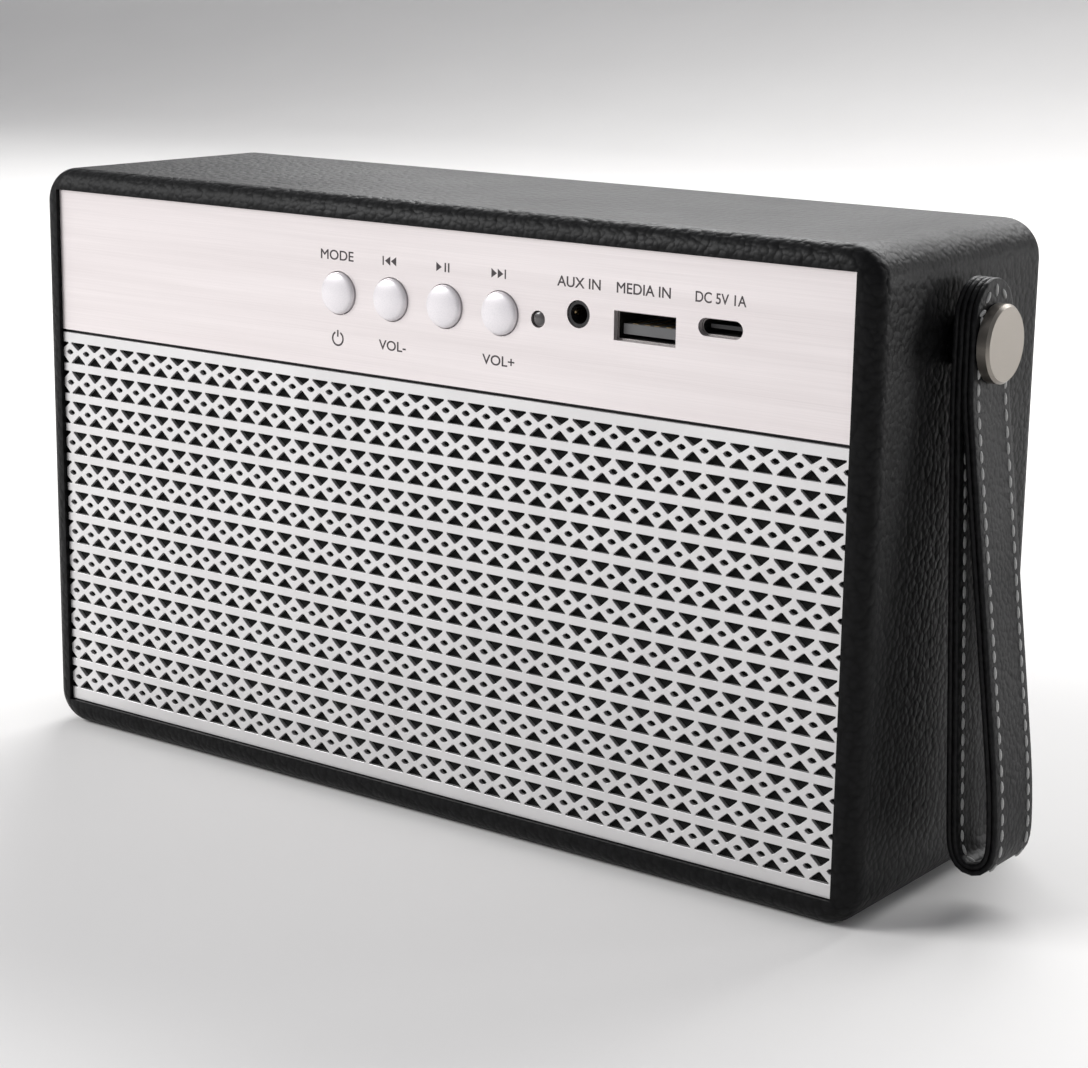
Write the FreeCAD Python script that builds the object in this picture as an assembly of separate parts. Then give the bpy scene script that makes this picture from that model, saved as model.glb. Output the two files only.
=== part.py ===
"""A portable speaker radio: a leather-wrapped case with a metal control panel and grille,
two small drivers, a rechargeable cell and a wrist strap on a stud.

Row frame, in millimetres: x = 0 is the middle of the case's width, y = 0 the middle of its depth
with the front at -y, and z = 0 is the surface that it stands on.
"""
import FreeCAD, Part
import math
import os
from FreeCAD import Vector

os.makedirs("parts", exist_ok=True)

X = Vector(1, 0, 0)
Y = Vector(0, 1, 0)
Z = Vector(0, 0, 1)

# ---- case ----
case_width = 198.0
case_height = 119.0
case_depth = 61.0
corner_radius = 7.0          # the four corners, seen from the front
lip_radius = 4.0             # rounding where the sides turn into the front and the back
leather_thickness = 1.0
side_border = 4.5            # leather seen beside the front opening
top_border = 4.3
bottom_border = 5.2
side_wall = 3.0
level_wall = 3.5             # top and bottom walls of the cabinet
fit_gap = 0.15               # between a plate and the opening that it drops into
seat_gap = 0.02              # where two glued faces lie on each other

# ---- front ----
panel_height = 29.0
panel_thickness = 1.2
panel_recess = 0.8           # panel face behind the leather's front
split_gap = 0.65             # dark line between panel and grille
grille_thickness = 0.8
cloth_thickness = 0.4
baffle_thickness = 4.0
ledge_width = 3.0
ledge_depth = 3.0

# ---- grille pattern ----
row_pitch = 6.42
column_pitch = 4.785
top_strip = 2.05
bottom_strip = 2.6
side_rim = 0.4
bar_height = 1.66            # level bars between the rows of holes
neck_width = 1.14            # upright neck that joins a lozenge to a bar
waist_width = 0.3            # narrowest place of a hole, between two lozenges
first_column = 3.85          # first hole's middle from the pattern's left end

# ---- controls, measured from the panel's top edge and from x = 0 ----
button_names = ("mode", "previous", "play", "next")
button_radius = 4.0
button_first_x = -18.2
button_pitch = 12.9
button_drop = 14.3
button_proud = 1.3           # crown of the dome in front of the panel
dome_height = 0.5
button_skirt = 2.2
button_gap = 0.2             # round the cap in the panel
flange_overlap = 0.6
flange_thickness = 1.0
flange_gap = 0.15
button_travel = 0.6
stem_radius = 1.6
stem_end = 10.3              # stem's end behind the panel's face
running_gap = 0.06
guide_margin = 5.2
guide_half_height = 5.6
guide_floor = 1.8

switch_size = 6.0
switch_depth = 3.6
plunger_radius = 1.7
plunger_length = 3.2
plunger_reach = 1.6          # how much of the plunger stands out of the switch
leg_width = 1.0
leg_thickness = 0.3

lens_x = 29.1
lens_drop = 14.5
lens_radius = 1.5
lens_length = 7.2
lens_flange = 0.7
led_radius = 1.5
led_length = 4.6

# ---- sockets ----
socket_gap = 0.15
jack_set_back = 0.25         # jack's mouth behind the panel's face
shell_set_back = 0.1         # socket shells behind the panel's back
jack_x = 38.0
jack_drop = 12.7
jack_bore = 1.8
jack_nose_radius = 2.35
jack_width = 6.2
jack_body_height = 5.0
jack_depth = 14.6
jack_bore_depth = 14.0

media_x = 52.3
media_drop = 13.85
media_width = 13.1
media_height = 5.3
media_depth = 14.0
media_tongue_thickness = 1.84
media_tongue_set_back = 0.4
media_tongue_drop = 2.1      # tongue's top below the shell's inside

charge_x = 67.95
charge_drop = 12.2
charge_width = 9.1
charge_height = 3.2
charge_depth = 7.4
charge_tongue_thickness = 0.7
charge_tongue_set_back = 0.8
shell_thickness = 0.3
tongue_side_gap = 0.7

# ---- main board ----
board_thickness = 1.6
board_front_gap = 0.35       # board's front edge behind a pressed cap's flange
board_depth = 23.1
board_left = -32.0
board_right = 80.0
board_above_jack = 0.1
board_post_radius = 3.0
board_screw_inset = 5.0
screw_head_height = 1.8
screw_head_radius = 2.5
screw_radius = 1.25
screw_hole_gap = 0.1
screw_bite = 6.0
window_margin = 1.5
header_size = Vector(6.0, 4.5, 4.5)
header_inset = 3.0
left_header_x = 8.0
battery_header_x = 20.0
board_parts_inset = 8.1      # parts on top of the board, from its front edge
radio_x = -14.0
radio_size = Vector(16.0, 12.0, 2.4)
amplifier_x = 20.0
amplifier_size = Vector(7.0, 5.0, 1.8)
amplifier_legs = 6
capacitor_x = 36.0
capacitor_radius = 2.5
capacitor_height = 7.0
capacitor_count = 3

# ---- drivers ----
driver_spread = 50.0         # each driver's axis from x = 0
driver_radius = 27.0
driver_seat = 3.0            # flange that bears on the baffle round the cut-out
flange_plate = 1.2
basket_depth = 15.5
basket_waist = 17.0          # inside radius at the floor
basket_sheet = 1.2
basket_windows = 4
window_width = 12.0
window_rim = 2.5
hub_room = 2.0               # floor's hole beyond the coil
cone_paper = 0.6
cone_depth = 8.5
surround_width = 3.4
surround_rubber = 0.5
surround_gap = 1.3           # surround inside the baffle's cut-out
surround_seat = 1.1          # its outer foot on the flange
glue_gap = 0.1
cap_radius = 9.6
cap_height = 2.4
cap_set_forward = 2.2
coil_radius = 7.0
coil_wall = 0.5
coil_length = 9.5
coil_overlap = 0.8           # former that stands inside the cone's neck
motor_radius = 16.0
motor_depth = 12.0
front_plate = 2.2
gap_width = 0.4              # air on each side of the coil
spider_thickness = 0.4
spider_step = 4.0            # spider and windows in front of the basket's floor
spider_wave = 0.5
driver_screw_inset = 1.8     # from the flange's edge
driver_screw_radius = 0.9

# ---- power ----
cell_radius = 9.2
cell_length = 65.0
cell_back_gap = 1.4          # cell's cradle in front of the back plate's bosses
cradle_floor = 2.0
cradle_wall = 2.0
cradle_grip = 11.0           # height of the cradle's sides
cell_gap = 0.1
lead_radius = 1.0
lead_bend = 5.0
lead_rise = 7.0              # straight stretch at each end of a lead
lead_slope = 14.0            # height over which the battery's lead crosses to the board

# ---- back ----
back_recess = 0.8
back_thickness = 2.5
gasket_thickness = 1.5
back_ledge_width = 9.0
back_ledge_depth = 3.0
boss_radius = 3.4
boss_length = 9.0
back_screw_inset = 4.6
back_screw_radius = 1.4
back_screw_head = 2.6
back_screw_seat = 1.6        # head's seat below the back plate's face
back_screw_head_height = 1.4
boss_floor = 1.0             # closed front end of each boss
tip_gap = 0.5
countersink_gap = 0.2

# ---- strap ----
strap_width = 14.2
strap_thickness = 2.1
strap_y = -2.0
stud_drop = 18.2             # stud's middle below the top of the case
stud_radius = 6.9
stud_head = 2.25
stud_bevel = 0.5
post_radius = 2.2
post_gap = 0.08
collar_radius = 4.5          # stud's collar, between the case and the strap
strap_stand_off = 2.3        # strap off the case
strap_side_gap = 0.25        # stud's collar and head off the strap
ply_gap = 0.1                # between the two stacked ends
tip_above_stud = 11.2
hinge_below_stud = 8.3       # where the leather starts to bend
hinge_slot = 1.0             # bare stretch between the ends and the hanging loop
loop_bottom = 7.0
loop_bend = 3.85             # middle of the leather round the bottom bend
loop_out = 11.1              # the bend's centre off the case
outer_bow = 124.0            # radius of the outer run's last stretch
strap_screw_radius = 1.5
strap_screw_depth = 4.5

# ---- places that follow from the sizes ----
half_width = case_width / 2
front = -case_depth / 2
back = case_depth / 2
opening_left = -half_width + side_border
opening_right = half_width - side_border
opening_bottom = bottom_border
opening_top = case_height - top_border
panel_face = front + panel_recess
panel_back = panel_face + panel_thickness
baffle_back = panel_back + baffle_thickness
panel_bottom = opening_top - panel_height
grille_top = panel_bottom - split_gap
cavity_left = -half_width + leather_thickness + side_wall
cavity_right = -cavity_left
cavity_bottom = leather_thickness + level_wall
cavity_top = case_height - cavity_bottom
cover_face = back - back_recess
cover_inside = cover_face - back_thickness
gasket_inside = cover_inside - gasket_thickness
button_z = opening_top - button_drop
jack_z = opening_top - jack_drop
media_z = opening_top - media_drop
charge_z = opening_top - charge_drop
lens_z = opening_top - lens_drop
jack_mouth = panel_face + jack_set_back
mouth = panel_back + shell_set_back
board_bottom = jack_z + jack_body_height / 2 + board_above_jack
board_top = board_bottom + board_thickness
flange_front = panel_back + flange_gap
board_front = flange_front + flange_thickness + button_travel + board_front_gap
board_back = board_front + board_depth
driver_z = (opening_bottom + grille_top) / 2
driver_cutout = driver_radius - driver_seat
cone_radius = driver_cutout - surround_gap - surround_width - glue_gap
basket_mouth = driver_cutout - surround_gap - surround_seat
basket_floor = baffle_back + basket_depth
side = half_width
stud_z = case_height - stud_drop
strap_inner = side + strap_stand_off
strap_outer = strap_inner + 2 * strap_thickness + ply_gap
hinge_z = stud_z - hinge_below_stud


# ---- shapes ----
def box(x0, x1, y0, y1, z0, z1):
    return Part.makeBox(x1 - x0, y1 - y0, z1 - z0, Vector(x0, y0, z0))


def rod(radius, start, along, length):
    return Part.makeCylinder(radius, length, start, along)


def join(first, *others):
    """One solid from pieces that touch or overlap."""
    return first.fuse(list(others)).removeSplitter()


def loop(points):
    return Part.makePolygon(list(points) + [points[0]])


def edges_along(shape, direction):
    """The straight edges that run along a direction."""
    found = []
    for edge in shape.Edges:
        if not isinstance(edge.Curve, Part.Line):
            continue
        run = edge.Vertexes[1].Point.sub(edge.Vertexes[0].Point)
        if run.cross(direction).Length < 1e-6:
            found.append(edge)
    return found


def rounded_block(inset):
    """The case's outer form, drawn in by inset on every side."""
    reach = half_width - inset
    block = box(-reach, reach, front + inset, back - inset, inset, case_height - inset)
    block = block.makeFillet(corner_radius - inset, edges_along(block, Y))
    rims = [e for e in block.Edges if abs(abs(e.CenterOfMass.y) - (back - inset)) < 1e-6]
    return block.makeFillet(lip_radius - inset, rims)


def opening_block(grow, y0, y1):
    """The front and back openings' outline, grown by grow, from y0 to y1."""
    return box(opening_left - grow, opening_right + grow, y0, y1, opening_bottom - grow, opening_top + grow)


def turned(profile, x, z):
    """A ring turned about an axis along y through x and z. The profile is (radius, y) points."""
    face = Part.Face(loop([Vector(x + r, y, z) for r, y in profile]))
    return face.revolve(Vector(x, 0, z), Y, 360)


def stadium(width, height, x, z, y0, y1):
    """A bar along y with fully rounded ends."""
    reach = (width - height) / 2
    middle = box(x - reach, x + reach, y0, y1, z - height / 2, z + height / 2)
    ends = [rod(height / 2, Vector(x + s * reach, y0, z), Y, y1 - y0) for s in (-1, 1)]
    return join(middle, *ends)


def tube_along(points, radius, bend):
    """A wire of straight runs joined by tangent arcs."""
    edges = []
    last = points[0]
    for before, corner, after in zip(points, points[1:], points[2:]):
        back_dir = (before - corner).normalize()
        on_dir = (after - corner).normalize()
        half = back_dir.getAngle(on_dir) / 2
        reach = bend / math.tan(half)
        start = corner + back_dir * reach
        end = corner + on_dir * reach
        centre = corner + (back_dir + on_dir).normalize() * (bend / math.sin(half))
        middle = centre + (corner - centre).normalize() * bend
        edges.append(Part.makeLine(last, start))
        edges.append(Part.Arc(start, middle, end).toShape())
        last = end
    edges.append(Part.makeLine(last, points[-1]))
    spine = Part.Wire(edges)
    ring = Part.Wire(Part.makeCircle(radius, points[0], points[1] - points[0]))
    return spine.makePipeShell([ring], True, False)


def button_x(index):
    return button_first_x + index * button_pitch


# ---- case ----
def leather_cover():
    """The skin over the four sides, turned over both lips and down into the openings."""
    skin = rounded_block(0).cut(rounded_block(leather_thickness))
    skin = skin.cut(opening_block(0, front - 1, back + 1))
    front_flap = opening_block(leather_thickness, front + leather_thickness, baffle_back)
    front_flap = front_flap.cut(opening_block(0, front, back))
    back_flap = opening_block(leather_thickness, gasket_inside, back - leather_thickness)
    back_flap = back_flap.cut(opening_block(0, front, back))
    cover = join(skin, front_flap, back_flap)
    stud_hole = rod(post_radius + post_gap, Vector(side - 2, strap_y, stud_z), X, 4)
    return cover.cut(stud_hole)


def back_screw_places():
    xs = (opening_left + back_screw_inset, 0, opening_right - back_screw_inset)
    zs = (opening_bottom + back_screw_inset, opening_top - back_screw_inset)
    return [(x, z) for x in xs for z in zs]


def board_post_places():
    y = board_back - board_screw_inset
    return [(board_left + board_screw_inset, y), (board_right - board_screw_inset, y)]


def cabinet():
    """Moulded sleeve: pockets for the baffle and the back plate, a ledge behind each, bosses and posts."""
    shell = rounded_block(leather_thickness)
    shell = shell.cut(opening_block(leather_thickness, front, baffle_back))
    shell = shell.cut(opening_block(leather_thickness, gasket_inside, back))
    shell = shell.cut(opening_block(-ledge_width, baffle_back, baffle_back + ledge_depth))
    rear_ledge = gasket_inside - back_ledge_depth
    shell = shell.cut(opening_block(-back_ledge_width, rear_ledge, gasket_inside))
    cavity = box(cavity_left, cavity_right, baffle_back + ledge_depth, rear_ledge, cavity_bottom, cavity_top)
    shell = shell.cut(cavity)
    boss_front = gasket_inside - boss_length
    bosses = [rod(boss_radius, Vector(x, boss_front, z), Y, boss_length) for x, z in back_screw_places()]
    posts = [
        rod(board_post_radius, Vector(x, y, board_top), Z, cavity_top - board_top + 1)
        for x, y in board_post_places()
    ]
    shell = join(shell, *bosses, *posts)
    pilot = back_screw_radius + seat_gap
    pilot_front = boss_front + boss_floor
    holes = [rod(pilot, Vector(x, pilot_front, z), Y, boss_length) for x, z in back_screw_places()]
    post_pilot = screw_radius + seat_gap
    holes += [rod(post_pilot, Vector(x, y, board_top), Z, screw_bite + 0.5) for x, y in board_post_places()]
    holes.append(rod(strap_screw_radius + screw_hole_gap, Vector(cavity_right - 1, strap_y, stud_z), X, 10))
    return shell.cut(holes)


def front_baffle():
    """Board behind panel and grille, with the driver cut-outs and the window for the controls."""
    board = opening_block(-fit_gap, panel_back, baffle_back)
    cuts = [
        rod(driver_cutout, Vector(s * driver_spread, panel_back - 1, driver_z), Y, baffle_thickness + 2)
        for s in (-1, 1)
    ]
    low = button_z - guide_half_height - fit_gap
    cuts.append(box(board_left - window_margin, board_right + window_margin, panel_back - 1, baffle_back + 1,
                    low, board_top + window_margin))
    return board.cut(cuts)


def rear_cover():
    plate = opening_block(-fit_gap, cover_inside, cover_face)
    plate = plate.makeChamfer(0.5, [e for e in plate.Edges if abs(e.CenterOfMass.y - cover_face) < 1e-6])
    cuts = []
    for x, z in back_screw_places():
        start = Vector(x, cover_inside - 1, z)
        cuts.append(rod(back_screw_radius + screw_hole_gap, start, Y, back_thickness + 2))
        cuts.append(rod(back_screw_head + countersink_gap, Vector(x, cover_face - back_screw_seat, z), Y, 3))
    return plate.cut(cuts)


def rear_gasket():
    ring = opening_block(-fit_gap, gasket_inside, cover_inside)
    ring = ring.cut(opening_block(-back_ledge_width, gasket_inside - 1, cover_inside + 1))
    holes = [
        rod(back_screw_radius + screw_hole_gap, Vector(x, gasket_inside - 1, z), Y, gasket_thickness + 2)
        for x, z in back_screw_places()
    ]
    return ring.cut(holes)


def rear_screws():
    """Six pan-head screws that hold the back plate."""
    seat = cover_face - back_screw_seat
    length = seat - (gasket_inside - boss_length + boss_floor + tip_gap)
    screws = []
    for x, z in back_screw_places():
        head = rod(back_screw_head, Vector(x, seat, z), Y, back_screw_head_height)
        shank = rod(back_screw_radius, Vector(x, seat - length, z), Y, length)
        cross = [box(x - 1.4, x + 1.4, seat + 0.6, seat + 2, z - 0.3, z + 0.3),
                 box(x - 0.3, x + 0.3, seat + 0.6, seat + 2, z - 1.4, z + 1.4)]
        screws.append(head.fuse(shank).cut(cross))
    return Part.makeCompound(screws)


# ---- front ----
def control_panel():
    """Aluminium plate with the holes for caps, light, jack and the two sockets."""
    plate = box(opening_left + fit_gap, opening_right - fit_gap, panel_face, panel_back,
                panel_bottom, opening_top - fit_gap)
    before = panel_face - 1
    deep = panel_thickness + 2
    cuts = [
        rod(button_radius + button_gap, Vector(button_x(i), before, button_z), Y, deep)
        for i in range(len(button_names))
    ]
    cuts.append(rod(lens_radius + running_gap, Vector(lens_x, before, lens_z), Y, deep))
    cuts.append(rod(jack_nose_radius + socket_gap, Vector(jack_x, before, jack_z), Y, deep))
    cuts.append(box(media_x - media_width / 2, media_x + media_width / 2, before, before + deep,
                    media_z - media_height / 2, media_z + media_height / 2))
    cuts.append(stadium(charge_width, charge_height, charge_x, charge_z, before, before + deep))
    return plate.cut(cuts)


def hourglass(x, z, top_z):
    """One punched hole: two triangles, base outwards, that meet in a narrow waist."""
    reach = (column_pitch - neck_width) / 2
    rise = (row_pitch - bar_height) / 2
    high = min(z + rise, top_z)
    waist = waist_width / 2
    return [(x - reach, z - rise), (x + reach, z - rise), (x + waist, z),
            (x + reach, high), (x - reach, high), (x - waist, z)]


def grille_holes(x0, x1, z0, z1):
    """Rows of holes between level bars. The strips of metal left between them are lozenges on necks."""
    reach = (column_pitch - neck_width) / 2
    rise = (row_pitch - bar_height) / 2
    rows = round((z1 - z0 + bar_height) / row_pitch)
    columns = math.floor((x1 - x0 - first_column - reach) / column_pitch) + 1
    return [
        hourglass(x0 + first_column + column * column_pitch, z0 + rise + row * row_pitch, z1)
        for row in range(rows) for column in range(columns)
    ]


def speaker_grille():
    x0 = opening_left + fit_gap
    x1 = opening_right - fit_gap
    z0 = opening_bottom + fit_gap
    z1 = grille_top
    y = panel_back - cloth_thickness
    outline = loop([Vector(x0, y, z0), Vector(x1, y, z0), Vector(x1, y, z1), Vector(x0, y, z1)])
    holes = [
        loop([Vector(px, y, pz) for px, pz in points])
        for points in grille_holes(x0 + side_rim, x1 - side_rim, z0 + bottom_strip, z1 - top_strip)
    ]
    face = Part.makeFace([outline] + holes, "Part::FaceMakerBullseye")
    return face.extrude(Vector(0, -grille_thickness, 0))


def grille_cloth():
    return box(opening_left + fit_gap, opening_right - fit_gap, panel_back - cloth_thickness, panel_back,
               opening_bottom + fit_gap, grille_top)


# ---- controls ----
def button(index):
    """Domed cap with a retaining flange behind the panel and a stem to the switch."""
    x = button_x(index)
    crown = panel_face - button_proud
    shoulder = crown + dome_height
    dome_radius = (button_radius ** 2 + dome_height ** 2) / (2 * dome_height)
    skirt = rod(button_radius, Vector(x, shoulder, button_z), Y, button_skirt)
    ball = Part.makeSphere(dome_radius, Vector(x, crown + dome_radius, button_z))
    dome = ball.common(rod(button_radius, Vector(x, crown - 1, button_z), Y, 1 + dome_height))
    flange = rod(button_radius + flange_overlap, Vector(x, flange_front, button_z), Y, flange_thickness)
    neck = rod(button_radius, Vector(x, shoulder, button_z), Y, flange_front - shoulder + 0.1)
    stem_length = panel_face + stem_end - flange_front
    stem = rod(stem_radius, Vector(x, flange_front, button_z), Y, stem_length)
    return join(dome, skirt, neck, flange, stem)


def button_guide():
    """Moulded bar behind the panel that guides the four stems and holds the light pipe."""
    x0 = button_x(0) - guide_margin
    x1 = lens_x + lens_radius + lens_flange + 1.5
    bar = box(x0, x1, panel_back, baffle_back + guide_floor,
              button_z - guide_half_height, button_z + guide_half_height - 2.2)
    cuts = []
    pocket = flange_gap + flange_thickness + button_travel + 0.4
    pocket_radius = button_radius + flange_overlap + button_gap
    for i in range(len(button_names)):
        x = button_x(i)
        cuts.append(rod(pocket_radius, Vector(x, panel_back - 1, button_z), Y, 1 + pocket))
        cuts.append(rod(stem_radius + running_gap, Vector(x, panel_back, button_z), Y, 20))
    cuts.append(rod(lens_radius + running_gap, Vector(lens_x, panel_back - 1, lens_z), Y, 20))
    cuts.append(rod(lens_radius + lens_flange + 0.1, Vector(lens_x, panel_back - 1, lens_z), Y, 2.2))
    return bar.cut(cuts)


def plunger(index):
    start = panel_face + stem_end
    return rod(plunger_radius, Vector(button_x(index), start, button_z), Y, plunger_length)


def switch(index):
    """Tact switch on its side, its legs up to the board."""
    x = button_x(index)
    front_y = panel_face + stem_end + plunger_reach
    half = switch_size / 2
    body = box(x - half, x + half, front_y, front_y + switch_depth, button_z - half, button_z + half)
    sunk = plunger_length - plunger_reach + button_travel + 0.3
    body = body.cut(rod(plunger_radius + running_gap, Vector(x, front_y - 1, button_z), Y, 1 + sunk))
    mid = front_y + switch_depth / 2
    legs = []
    for leg_x in (x - half + leg_width, x + half - leg_width):
        legs.append(box(leg_x - leg_width / 2, leg_x + leg_width / 2, mid - leg_thickness / 2,
                        mid + leg_thickness / 2, button_z + half - 0.5, board_bottom))
    return join(body, *legs)


def status_lens():
    pipe = rod(lens_radius, Vector(lens_x, panel_face + 0.1, lens_z), Y, lens_length)
    flange = rod(lens_radius + lens_flange, Vector(lens_x, panel_back, lens_z), Y, 1.0)
    return join(pipe, flange)


def status_led():
    """Lamp behind the light pipe, with two legs bent up to the board."""
    start = panel_face + 0.1 + lens_length + 0.3
    end = start + led_length
    body = rod(led_radius, Vector(lens_x, start, lens_z), Y, led_length)
    rim = rod(led_radius + 0.4, Vector(lens_x, end - 1, lens_z), Y, 1)
    legs = []
    for s in (-1, 1):
        x = lens_x + s * 0.7
        legs.append(box(x - 0.25, x + 0.25, end - 0.5, end + 1.5, lens_z - 0.25, lens_z + 0.25))
        legs.append(box(x - 0.25, x + 0.25, end + 1, end + 1.5, lens_z - 0.25, board_bottom))
    return join(body, rim, *legs)


# ---- sockets ----
def aux_jack():
    """Jack with a round nose in the panel and a square body under the board."""
    nose_length = panel_back + 0.6 - jack_mouth
    body = box(jack_x - jack_width / 2, jack_x + jack_width / 2, jack_mouth + nose_length, jack_mouth + jack_depth,
               jack_z - jack_body_height / 2, jack_z + jack_body_height / 2)
    nose = rod(jack_nose_radius, Vector(jack_x, jack_mouth, jack_z), Y, nose_length + 0.5)
    bore = rod(jack_bore, Vector(jack_x, jack_mouth - 1, jack_z), Y, jack_bore_depth + 1)
    pins = [
        box(jack_x - 0.5, jack_x + 0.5, y - 0.2, y + 0.2, jack_z + jack_body_height / 2 - 0.2, board_bottom)
        for y in (jack_mouth + 6, jack_mouth + 12)
    ]
    return join(body, nose, *pins).cut(bore)


def media_socket():
    """Flat four-sided shell with a closed back and four tabs up to the board."""
    x0 = media_x - media_width / 2
    x1 = media_x + media_width / 2
    z0 = media_z - media_height / 2
    z1 = media_z + media_height / 2
    wall = shell_thickness
    shell = box(x0, x1, mouth, mouth + media_depth, z0, z1)
    shell = shell.cut(box(x0 + wall, x1 - wall, mouth - 1, mouth + media_depth - wall, z0 + wall, z1 - wall))
    tabs = [
        box(x, x + wall, y, y + 1.5, z1 - 0.5, board_bottom)
        for x in (x0, x1 - wall) for y in (mouth + 4, mouth + 10)
    ]
    return join(shell, *tabs)


def media_tongue():
    x0 = media_x - media_width / 2 + shell_thickness + tongue_side_gap
    x1 = media_x + media_width / 2 - shell_thickness - tongue_side_gap
    top = media_z + media_height / 2 - shell_thickness - media_tongue_drop
    return box(x0, x1, mouth + media_tongue_set_back, mouth + media_depth - shell_thickness,
               top - media_tongue_thickness, top)


def charging_socket():
    """Small oval shell with a closed back and two tabs up to the board."""
    wall = shell_thickness
    shell = stadium(charge_width, charge_height, charge_x, charge_z, mouth, mouth + charge_depth)
    inside = stadium(charge_width - 2 * wall, charge_height - 2 * wall, charge_x, charge_z,
                     mouth - 1, mouth + charge_depth - wall)
    tabs = [
        box(charge_x + s * 2.5 - 0.6, charge_x + s * 2.5 + 0.6, mouth + 4, mouth + 5.5,
            charge_z + charge_height / 2 - 0.2, board_bottom)
        for s in (-1, 1)
    ]
    return join(shell.cut(inside), *tabs)


def charging_tongue():
    reach = (charge_width / 2 - shell_thickness) - tongue_side_gap - 0.3
    half = charge_tongue_thickness / 2
    return box(charge_x - reach, charge_x + reach, mouth + charge_tongue_set_back,
               mouth + charge_depth - shell_thickness, charge_z - half, charge_z + half)


# ---- main board ----
def main_board():
    board = box(board_left, board_right, board_front, board_back, board_bottom, board_top)
    holes = [
        rod(screw_radius + screw_hole_gap, Vector(x, y, board_bottom - 1), Z, board_thickness + 2)
        for x, y in board_post_places()
    ]
    return board.cut(holes)


def board_screws():
    screws = []
    for x, y in board_post_places():
        head = rod(screw_head_radius, Vector(x, y, board_bottom - screw_head_height), Z, screw_head_height)
        shank = rod(screw_radius, Vector(x, y, board_bottom), Z, board_thickness + screw_bite)
        screws.append(head.fuse(shank))
    return Part.makeCompound(screws)


def radio_module():
    """Screened radio receiver on top of the board."""
    size = radio_size
    y0 = board_front + board_parts_inset
    can = box(radio_x, radio_x + size.x, y0, y0 + size.y, board_top, board_top + size.z)
    rim = [e for e in can.Edges if abs(e.CenterOfMass.z - board_top - size.z) < 1e-6]
    return can.makeChamfer(0.4, rim)


def amplifier():
    """Power amplifier package with its rows of legs."""
    size = amplifier_size
    y0 = board_front + board_parts_inset
    body = box(amplifier_x, amplifier_x + size.x, y0, y0 + size.y, board_top + 0.2, board_top + size.z)
    pitch = size.x / amplifier_legs
    legs = []
    for i in range(amplifier_legs):
        x = amplifier_x + pitch * (i + 0.5)
        legs.append(box(x - 0.2, x + 0.2, y0 - 1, y0 + size.y + 1, board_top, board_top + 0.5))
    return join(body, *legs)


def capacitors():
    """Three upright electrolytic cans."""
    y = board_front + board_parts_inset + capacitor_radius
    pitch = 2 * capacitor_radius + 2
    cans = []
    for i in range(capacitor_count):
        can = rod(capacitor_radius, Vector(capacitor_x + pitch * i, y, board_top), Z, capacitor_height)
        cans.append(can.makeFillet(0.5, [e for e in can.Edges if isinstance(e.Curve, Part.Circle)]))
    return Part.makeCompound(cans)


def board_headers():
    """Three lead connectors under the board's back edge."""
    y1 = board_back - header_inset
    half = header_size.x / 2
    return Part.makeCompound([
        box(x - half, x + half, y1 - header_size.y, y1, board_bottom - header_size.z, board_bottom)
        for x in (left_header_x, battery_header_x, driver_spread)
    ])


def header_mouth(x):
    return Vector(x, board_back - header_inset - header_size.y / 2, board_bottom - header_size.z)


# ---- drivers ----
def basket(x):
    """Pressed frame: flange against the baffle, a windowed cone and a floor that carries the motor."""
    y0 = baffle_back
    y1 = baffle_back + flange_plate
    hub = coil_radius + coil_wall + hub_room
    frame = turned([
        (basket_mouth, y0), (driver_radius, y0), (driver_radius, y1), (basket_mouth + basket_sheet, y1),
        (basket_waist + basket_sheet, basket_floor), (hub, basket_floor),
        (hub, basket_floor - basket_sheet), (basket_waist, basket_floor - basket_sheet),
        (basket_mouth, y1),
    ], x, driver_z)
    windows = []
    for i in range(basket_windows):
        angle = 360 / basket_windows * i
        half = window_width / 2
        window = box(basket_waist - 2, driver_radius + 2, y1 + window_rim,
                     basket_floor - basket_sheet - spider_step, -half, half)
        window.rotate(Vector(0, 0, 0), Y, angle)
        window.translate(Vector(x, 0, driver_z))
        windows.append(window)
    holes = [
        rod(driver_screw_radius + screw_hole_gap, Vector(px, y0 - 1, pz), Y, flange_plate + 2)
        for px, pz in driver_screw_places(x)
    ]
    return frame.cut(windows + holes)


def driver_screw_places(x):
    reach = (driver_radius - driver_screw_inset) * math.sqrt(0.5)
    return [(x + i * reach, driver_z + k * reach) for i in (-1, 1) for k in (-1, 1)]


def driver_screws():
    """Eight short screws through the flanges into the baffle."""
    screws = []
    for s in (-1, 1):
        for px, pz in driver_screw_places(s * driver_spread):
            top = baffle_back + flange_plate
            head = rod(1.6, Vector(px, top, pz), Y, 1.0)
            shank = rod(driver_screw_radius, Vector(px, baffle_back + 0.01, pz), Y, flange_plate)
            screws.append(head.fuse(shank))
    return Part.makeCompound(screws)


def motor(x):
    """Magnet ring between a front plate and a back plate with the pole."""
    y0 = basket_floor
    gap_in = coil_radius - gap_width
    gap_out = coil_radius + coil_wall + gap_width
    ring_in = gap_out + 1.5
    y1 = y0 + motor_depth
    return turned([
        (gap_out, y0), (motor_radius - 0.6, y0), (motor_radius - 0.6, y0 + front_plate),
        (motor_radius, y0 + front_plate), (motor_radius, y1 - front_plate),
        (motor_radius - 0.6, y1 - front_plate), (motor_radius - 0.6, y1), (0, y1),
        (0, y0 - 0.5), (gap_in, y0 - 0.5), (gap_in, y1 - front_plate),
        (ring_in, y1 - front_plate), (ring_in, y0 + front_plate), (gap_out, y0 + front_plate),
    ], x, driver_z)


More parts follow.
